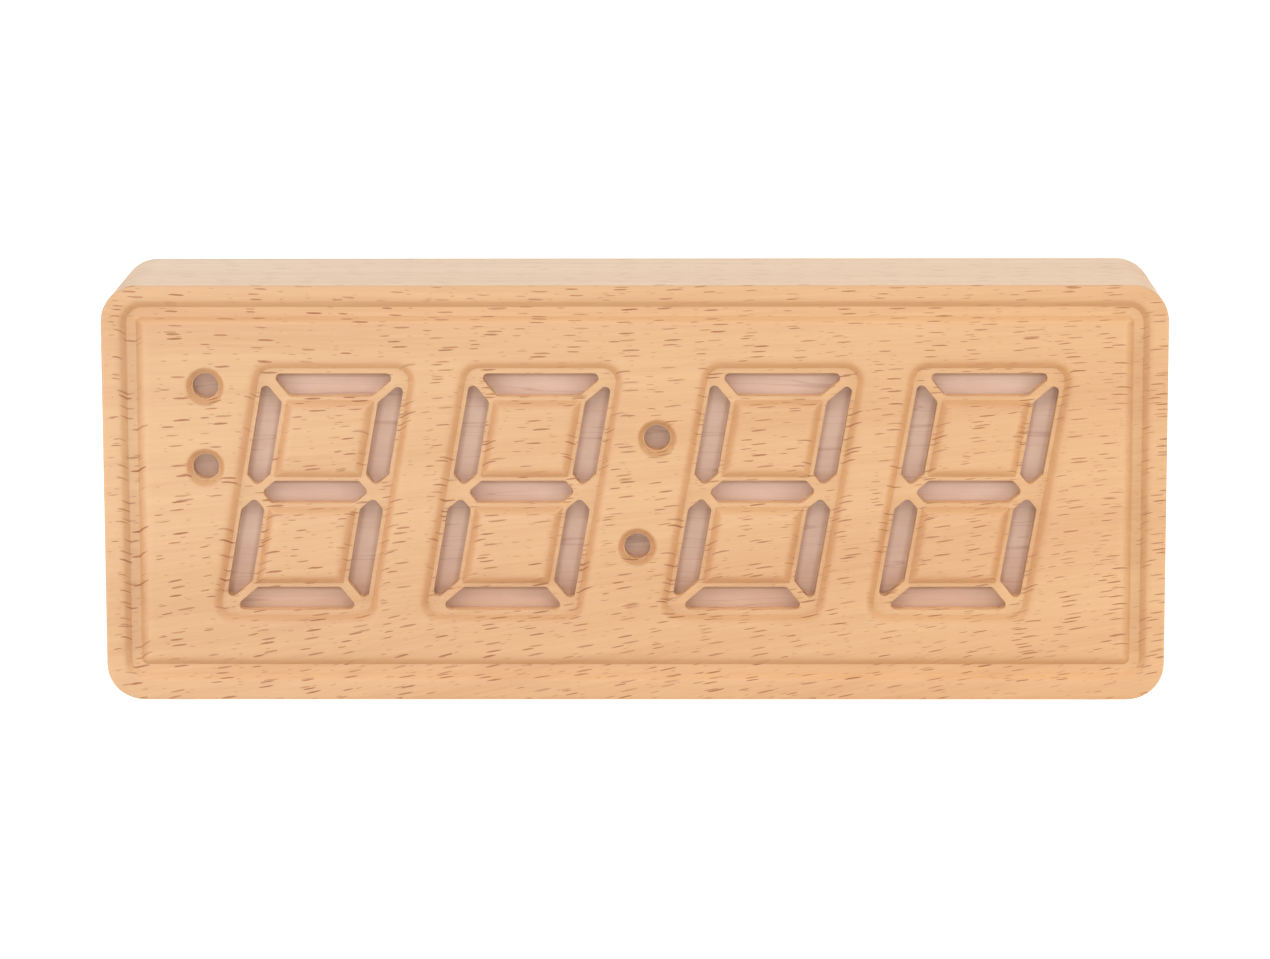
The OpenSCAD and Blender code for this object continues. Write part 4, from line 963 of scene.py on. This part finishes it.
# ---------------------------------------------------------------- power inlet and feet
def make_usb():
    b = Build()
    o = [b.ring(rrect(4.47 - i, 1.63 - i, 1.6 - i, 0, USB_Z, 12), 18.0 - d) for i, d in arc_in(0.12, 3)]
    o.append(b.ring(rrect(4.47, 1.63, 1.6, 0, USB_Z, 12), 9.2))
    i = [b.ring(rrect(4.17, 1.33, 1.3, 0, USB_Z, 12), 9.2), b.ring(rrect(4.17, 1.33, 1.3, 0, USB_Z, 12), 17.8), b.ring(rrect(4.29, 1.45, 1.42, 0, USB_Z, 12), 18.0)]
    b.strips(o)
    b.strips(i)
    b.cap(o[0], i[-1])
    b.cap(o[-1], i[0])
    b.make("usb_port_shell_drawn", [NICKEL], "clock", ["usb_port_shell"], 35)
    b = Build()
    b.prism(rrect(4.1, 1.26, 1.2, 0, USB_Z, 10), 9.2, 11.6, 1, 0.1)
    b.prism(rrect(3.35, 0.35, 0.2, 0, USB_Z, 4), 11.6, 17.1, 1, 0.12)
    b.make("usb_port_tongue", [CHIP], "clock", ["usb_port_insert"], 35)
    b = Build()
    for s in (-1, 1):
        for k in range(8):
            px = (k - 3.5) * 0.72
            b.prism(rect(0.17, 0.02, px, USB_Z + s * 0.365), 12.2, 16.7, 1, 0.005, 1)
    b.make("usb_port_contacts", [BRASS], "clock")


make_usb()


def make_feet():
    b = Build()
    for fx in (-86.0, 86.0):
        for fy in (-11.5, 11.5):
            prof = [(0.0, 0.0), (1.6, 0.0), (1.75, 0.12), (2.15, 0.12), (2.3, 0.0), (3.95, 0.0), (4.2, 0.05), (4.38, 0.16), (4.5, 0.32), (4.5, FOOT_H), (0.0, FOOT_H)]
            b.lathe(fx, fy, prof, 48, 2)
    return b.make("rubber_feet_moulded", [RUBBER], "clock", ["rubber_feet"], 35)


make_feet()


# ---------------------------------------------------------------- plain symbols on the cover
def make_marks():
    b = Build()
    y0, y1 = COVER_OUT - 0.02, COVER_OUT + 0.05

    def solid(pts):
        b.prism(pts, y0, y1)

    def ring(x, z, r, w, n=40):
        o = [b.ring(circle(x, z, r + w / 2, n), y) for y in (y0, y1)]
        i = [b.ring(circle(x, z, r - w / 2, n), y) for y in (y0, y1)]
        b.strips(o)
        b.strips(i)
        b.cap(o[0], i[0])
        b.cap(o[1], i[1])

    def bar(xa, za, xb, zb, w):
        dx, dz = unit2(xb - xa, zb - za)
        nx, nz = -dz * w / 2, dx * w / 2
        solid([(xa - nx, za - nz), (xb - nx, zb - nz), (xb + nx, zb + nz), (xa + nx, za + nz)])

    zt = BUTTON_Z + 8.2
    # seen from behind, +X is on the left, so hands are drawn mirrored
    x = BUTTON_X["set"]
    ring(x, zt, 1.7, 0.32)
    bar(x, zt - 0.12, x, zt + 1.1, 0.3)
    bar(x - 0.9, zt, x - 0.15, zt, 0.3)
    x = BUTTON_X["hour"]
    ring(x, zt, 1.7, 0.32)
    bar(x - 0.95, zt, x + 0.15, zt, 0.42)
    x = BUTTON_X["minute"]
    ring(x, zt, 1.7, 0.32)
    bar(x, zt - 0.15, x, zt + 1.3, 0.3)
    x = BUTTON_X["alarm"]
    bell = [(1.75, -0.95), (1.75, -0.65), (1.3, -0.25)] + [(1.15 * math.cos(t), 0.55 + 1.15 * math.sin(t)) for t in [math.pi * k / 14 for k in range(15)]] + [(-1.3, -0.25), (-1.75, -0.65), (-1.75, -0.95)]
    solid([(x + u, zt + v) for u, v in bell])
    solid(circle(x, zt - 1.42, 0.32, 20))
    solid(circle(x, zt + 1.98, 0.22, 16))
    # slider: a bell on one side, a plain ring on the other
    bx, bz = -8.2, SLIDE_Z
    solid([(bx + 0.8 * u, bz + 0.8 * v) for u, v in bell])
    solid(circle(bx, bz - 1.14, 0.26, 20))
    ring(8.2, SLIDE_Z, 1.05, 0.3)
    # power inlet: direct current sign
    uz = USB_Z + 4.6
    bar(-2.0, uz + 0.5, 2.0, uz + 0.5, 0.3)
    for k in (-1, 0, 1):
        bar(k * 1.5 - 0.5, uz - 0.25, k * 1.5 + 0.5, uz - 0.25, 0.3)
    # coin cell door: shut and open positions
    for a, full in ((90, True), (45, False)):
        px, pz = CELL[0] + 16.3 * math.cos(math.radians(a)), CELL[1] + 16.3 * math.sin(math.radians(a))
        if full:
            solid(circle(px, pz, 0.62, 28))
        else:
            ring(px, pz, 0.52, 0.26, 28)
    b.make("cover_symbols", [INK], "clock")

    b = Build()
    cx, cz = CELL
    b.prism([(cx - 0.8, cz + 8.5), (cx + 0.8, cz + 8.5), (cx, cz + 10.0)], 18.28, 18.35)
    b.make("door_pointer", [INK], "cell_door")


make_marks()


# ---------------------------------------------------------------- finishes of the pieces kept from the frame
FINISH = {
    "window_veneer": VENEER, "diffuser_sheet": OPAL, "light_baffle": WHITE,
    "display_board": BOARD, "control_board": BOARD, "segment_leds": LEDS,
    "display_board_screws": ZINC, "control_board_screws": ZINC, "holder_screws": ZINC,
    "microcontroller": CHIP, "led_drivers": CHIP, "clock_chip": CHIP, "voltage_regulator": CHIP,
    "crystal": NICKEL, "board_capacitors": SLEEVE, "input_capacitor": NICKEL,
    "lead_headers": IVORY, "lead_plugs": IVORY, "ribbon_sockets": IVORY, "ribbon_cable": RIBBON,
    "button_switches": CHIP, "alarm_switch_body": ZINC, "alarm_switch_lever": BLACK,
    "coin_cell_holder": BLACK, "coin_cell": NICKEL, "negative_contact": BRASS, "positive_contact": BRASS,
    "battery_lead": RED, "buzzer": BLACK, "buzzer_lead": BLACKWIRE,
    "set_plunger": WHITE, "hour_plunger": WHITE, "minute_plunger": WHITE, "alarm_plunger": WHITE,
}
for node, mat in FINISH.items():
    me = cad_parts[node].data
    me.materials.clear()
    me.materials.append(mat)


# ---------------------------------------------------------------- stage, light and camera
def area(name, loc, aim, w, h, power, colour=(1, 1, 1)):
    d = bpy.data.lights.new(name, "AREA")
    d.shape = "RECTANGLE"
    d.size, d.size_y, d.energy, d.color = w, h, power, colour
    o = bpy.data.objects.new(name, d)
    o.location = loc
    o.rotation_mode = "QUATERNION"
    o.rotation_quaternion = (Vector(aim) - Vector(loc)).to_track_quat("-Z", "Y")
    bpy.context.scene.collection.objects.link(o)
    return o


def make_stage():
    m = Mat("pale_floor")
    x, y, z, v = m.coords()
    cloud = m.noise(m.scaled(v, 0.004, 0.004, 0.004), 1.0, 2.0)
    m.set(Base_Color=m.ramp(cloud, ((0.3, (0.88, 0.88, 0.88, 1)), (0.7, (0.90, 0.90, 0.90, 1)))), Roughness=0.9)
    m.bsdf.inputs["Specular IOR Level"].default_value = 0.1
    m.bsdf.inputs["Emission Color"].default_value = (1.0, 1.0, 1.0, 1.0)
    # the table glows, most of all where the block stands on it
    ax, ay = m.math("ABSOLUTE", x), m.math("ABSOLUTE", y)
    under = m.math("MULTIPLY", m.span(ax, 95.0, 101.0, 1.0, 0.0), m.span(ay, 17.0, 21.0, 1.0, 0.0))
    m.set(Emission_Strength=m.math("MULTIPLY_ADD", under, 0.55, 0.28))
    me = bpy.data.meshes.new("floor")
    s = 12.0
    me.from_pydata([(-s, -s, -2e-5), (s, -s, -2e-5), (s, s, -2e-5), (-s, s, -2e-5)], [], [(0, 1, 2, 3)])
    me.materials.append(m.m)
    o = bpy.data.objects.new("floor", me)
    bpy.context.scene.collection.objects.link(o)

    w = bpy.data.worlds.new("studio")
    bpy.context.scene.world = w
    w.use_nodes = True
    bg = w.node_tree.nodes["Background"]
    tc = w.node_tree.nodes.new("ShaderNodeTexCoord")
    sep = w.node_tree.nodes.new("ShaderNodeSeparateXYZ")
    fade = w.node_tree.nodes.new("ShaderNodeMapRange")
    fade.interpolation_type = "SMOOTHSTEP"
    for k, val in ((1, 0.02), (2, 0.45), (3, 0.85), (4, 0.65)):
        fade.inputs[k].default_value = val
    w.node_tree.links.new(tc.outputs["Generated"], sep.inputs[0])
    w.node_tree.links.new(sep.outputs[2], fade.inputs[0])
    w.node_tree.links.new(fade.outputs[0], bg.inputs[0])
    bg.inputs[1].default_value = 1.0

    area("front", (0.0, -1.32, 0.76), (0, 0, 0.04), 1.7, 0.7, 3.5)
    area("left", (-0.53, -0.30, 0.16), (0, 0, 0.04), 0.4, 0.4, 1.48)
    area("right", (0.53, -0.30, 0.16), (0, 0, 0.04), 0.4, 0.4, 1.38)
    area("top", (0.0, -1.05, 1.3), (0, 0, 0.04), 0.9, 0.8, 8.2)
    area("back", (0.2, 1.9, 2.2), (0, 0, 0.04), 1.6, 1.0, 38)

    vs = bpy.context.scene.view_settings
    vs.view_transform = "Standard"
    vs.look = "None"
    vs.exposure = 0.0
    vs.gamma = 1.0


make_stage()


def make_camera():
    cam = bpy.data.cameras.new("camera")
    cam.sensor_fit = "HORIZONTAL"
    cam.sensor_width = 36.0
    cam.lens = 36.0 * 5149.85 / 1270.0
    cam.clip_start, cam.clip_end = 0.05, 50.0
    o = bpy.data.objects.new("camera", cam)
    bpy.context.scene.collection.objects.link(o)
    rot = Matrix.Rotation(0.0117, 3, "Z") @ Matrix.Rotation(-0.1704, 3, "X")
    right, down, fwd = rot @ Vector((1, 0, 0)), rot @ Vector((0, 0, -1)), rot @ Vector((0, 1, 0))
    c, s = math.cos(0.0022), math.sin(0.0022)
    r2, d2 = c * right + s * down, -s * right + c * down
    m = Matrix((r2, -d2, -fwd)).transposed().to_4x4()
    m.translation = Vector((11.247, -953.98 + FACE_Y, 166.92 + ZC)) * MM
    o.matrix_world = m
    bpy.context.scene.camera = o


make_camera()
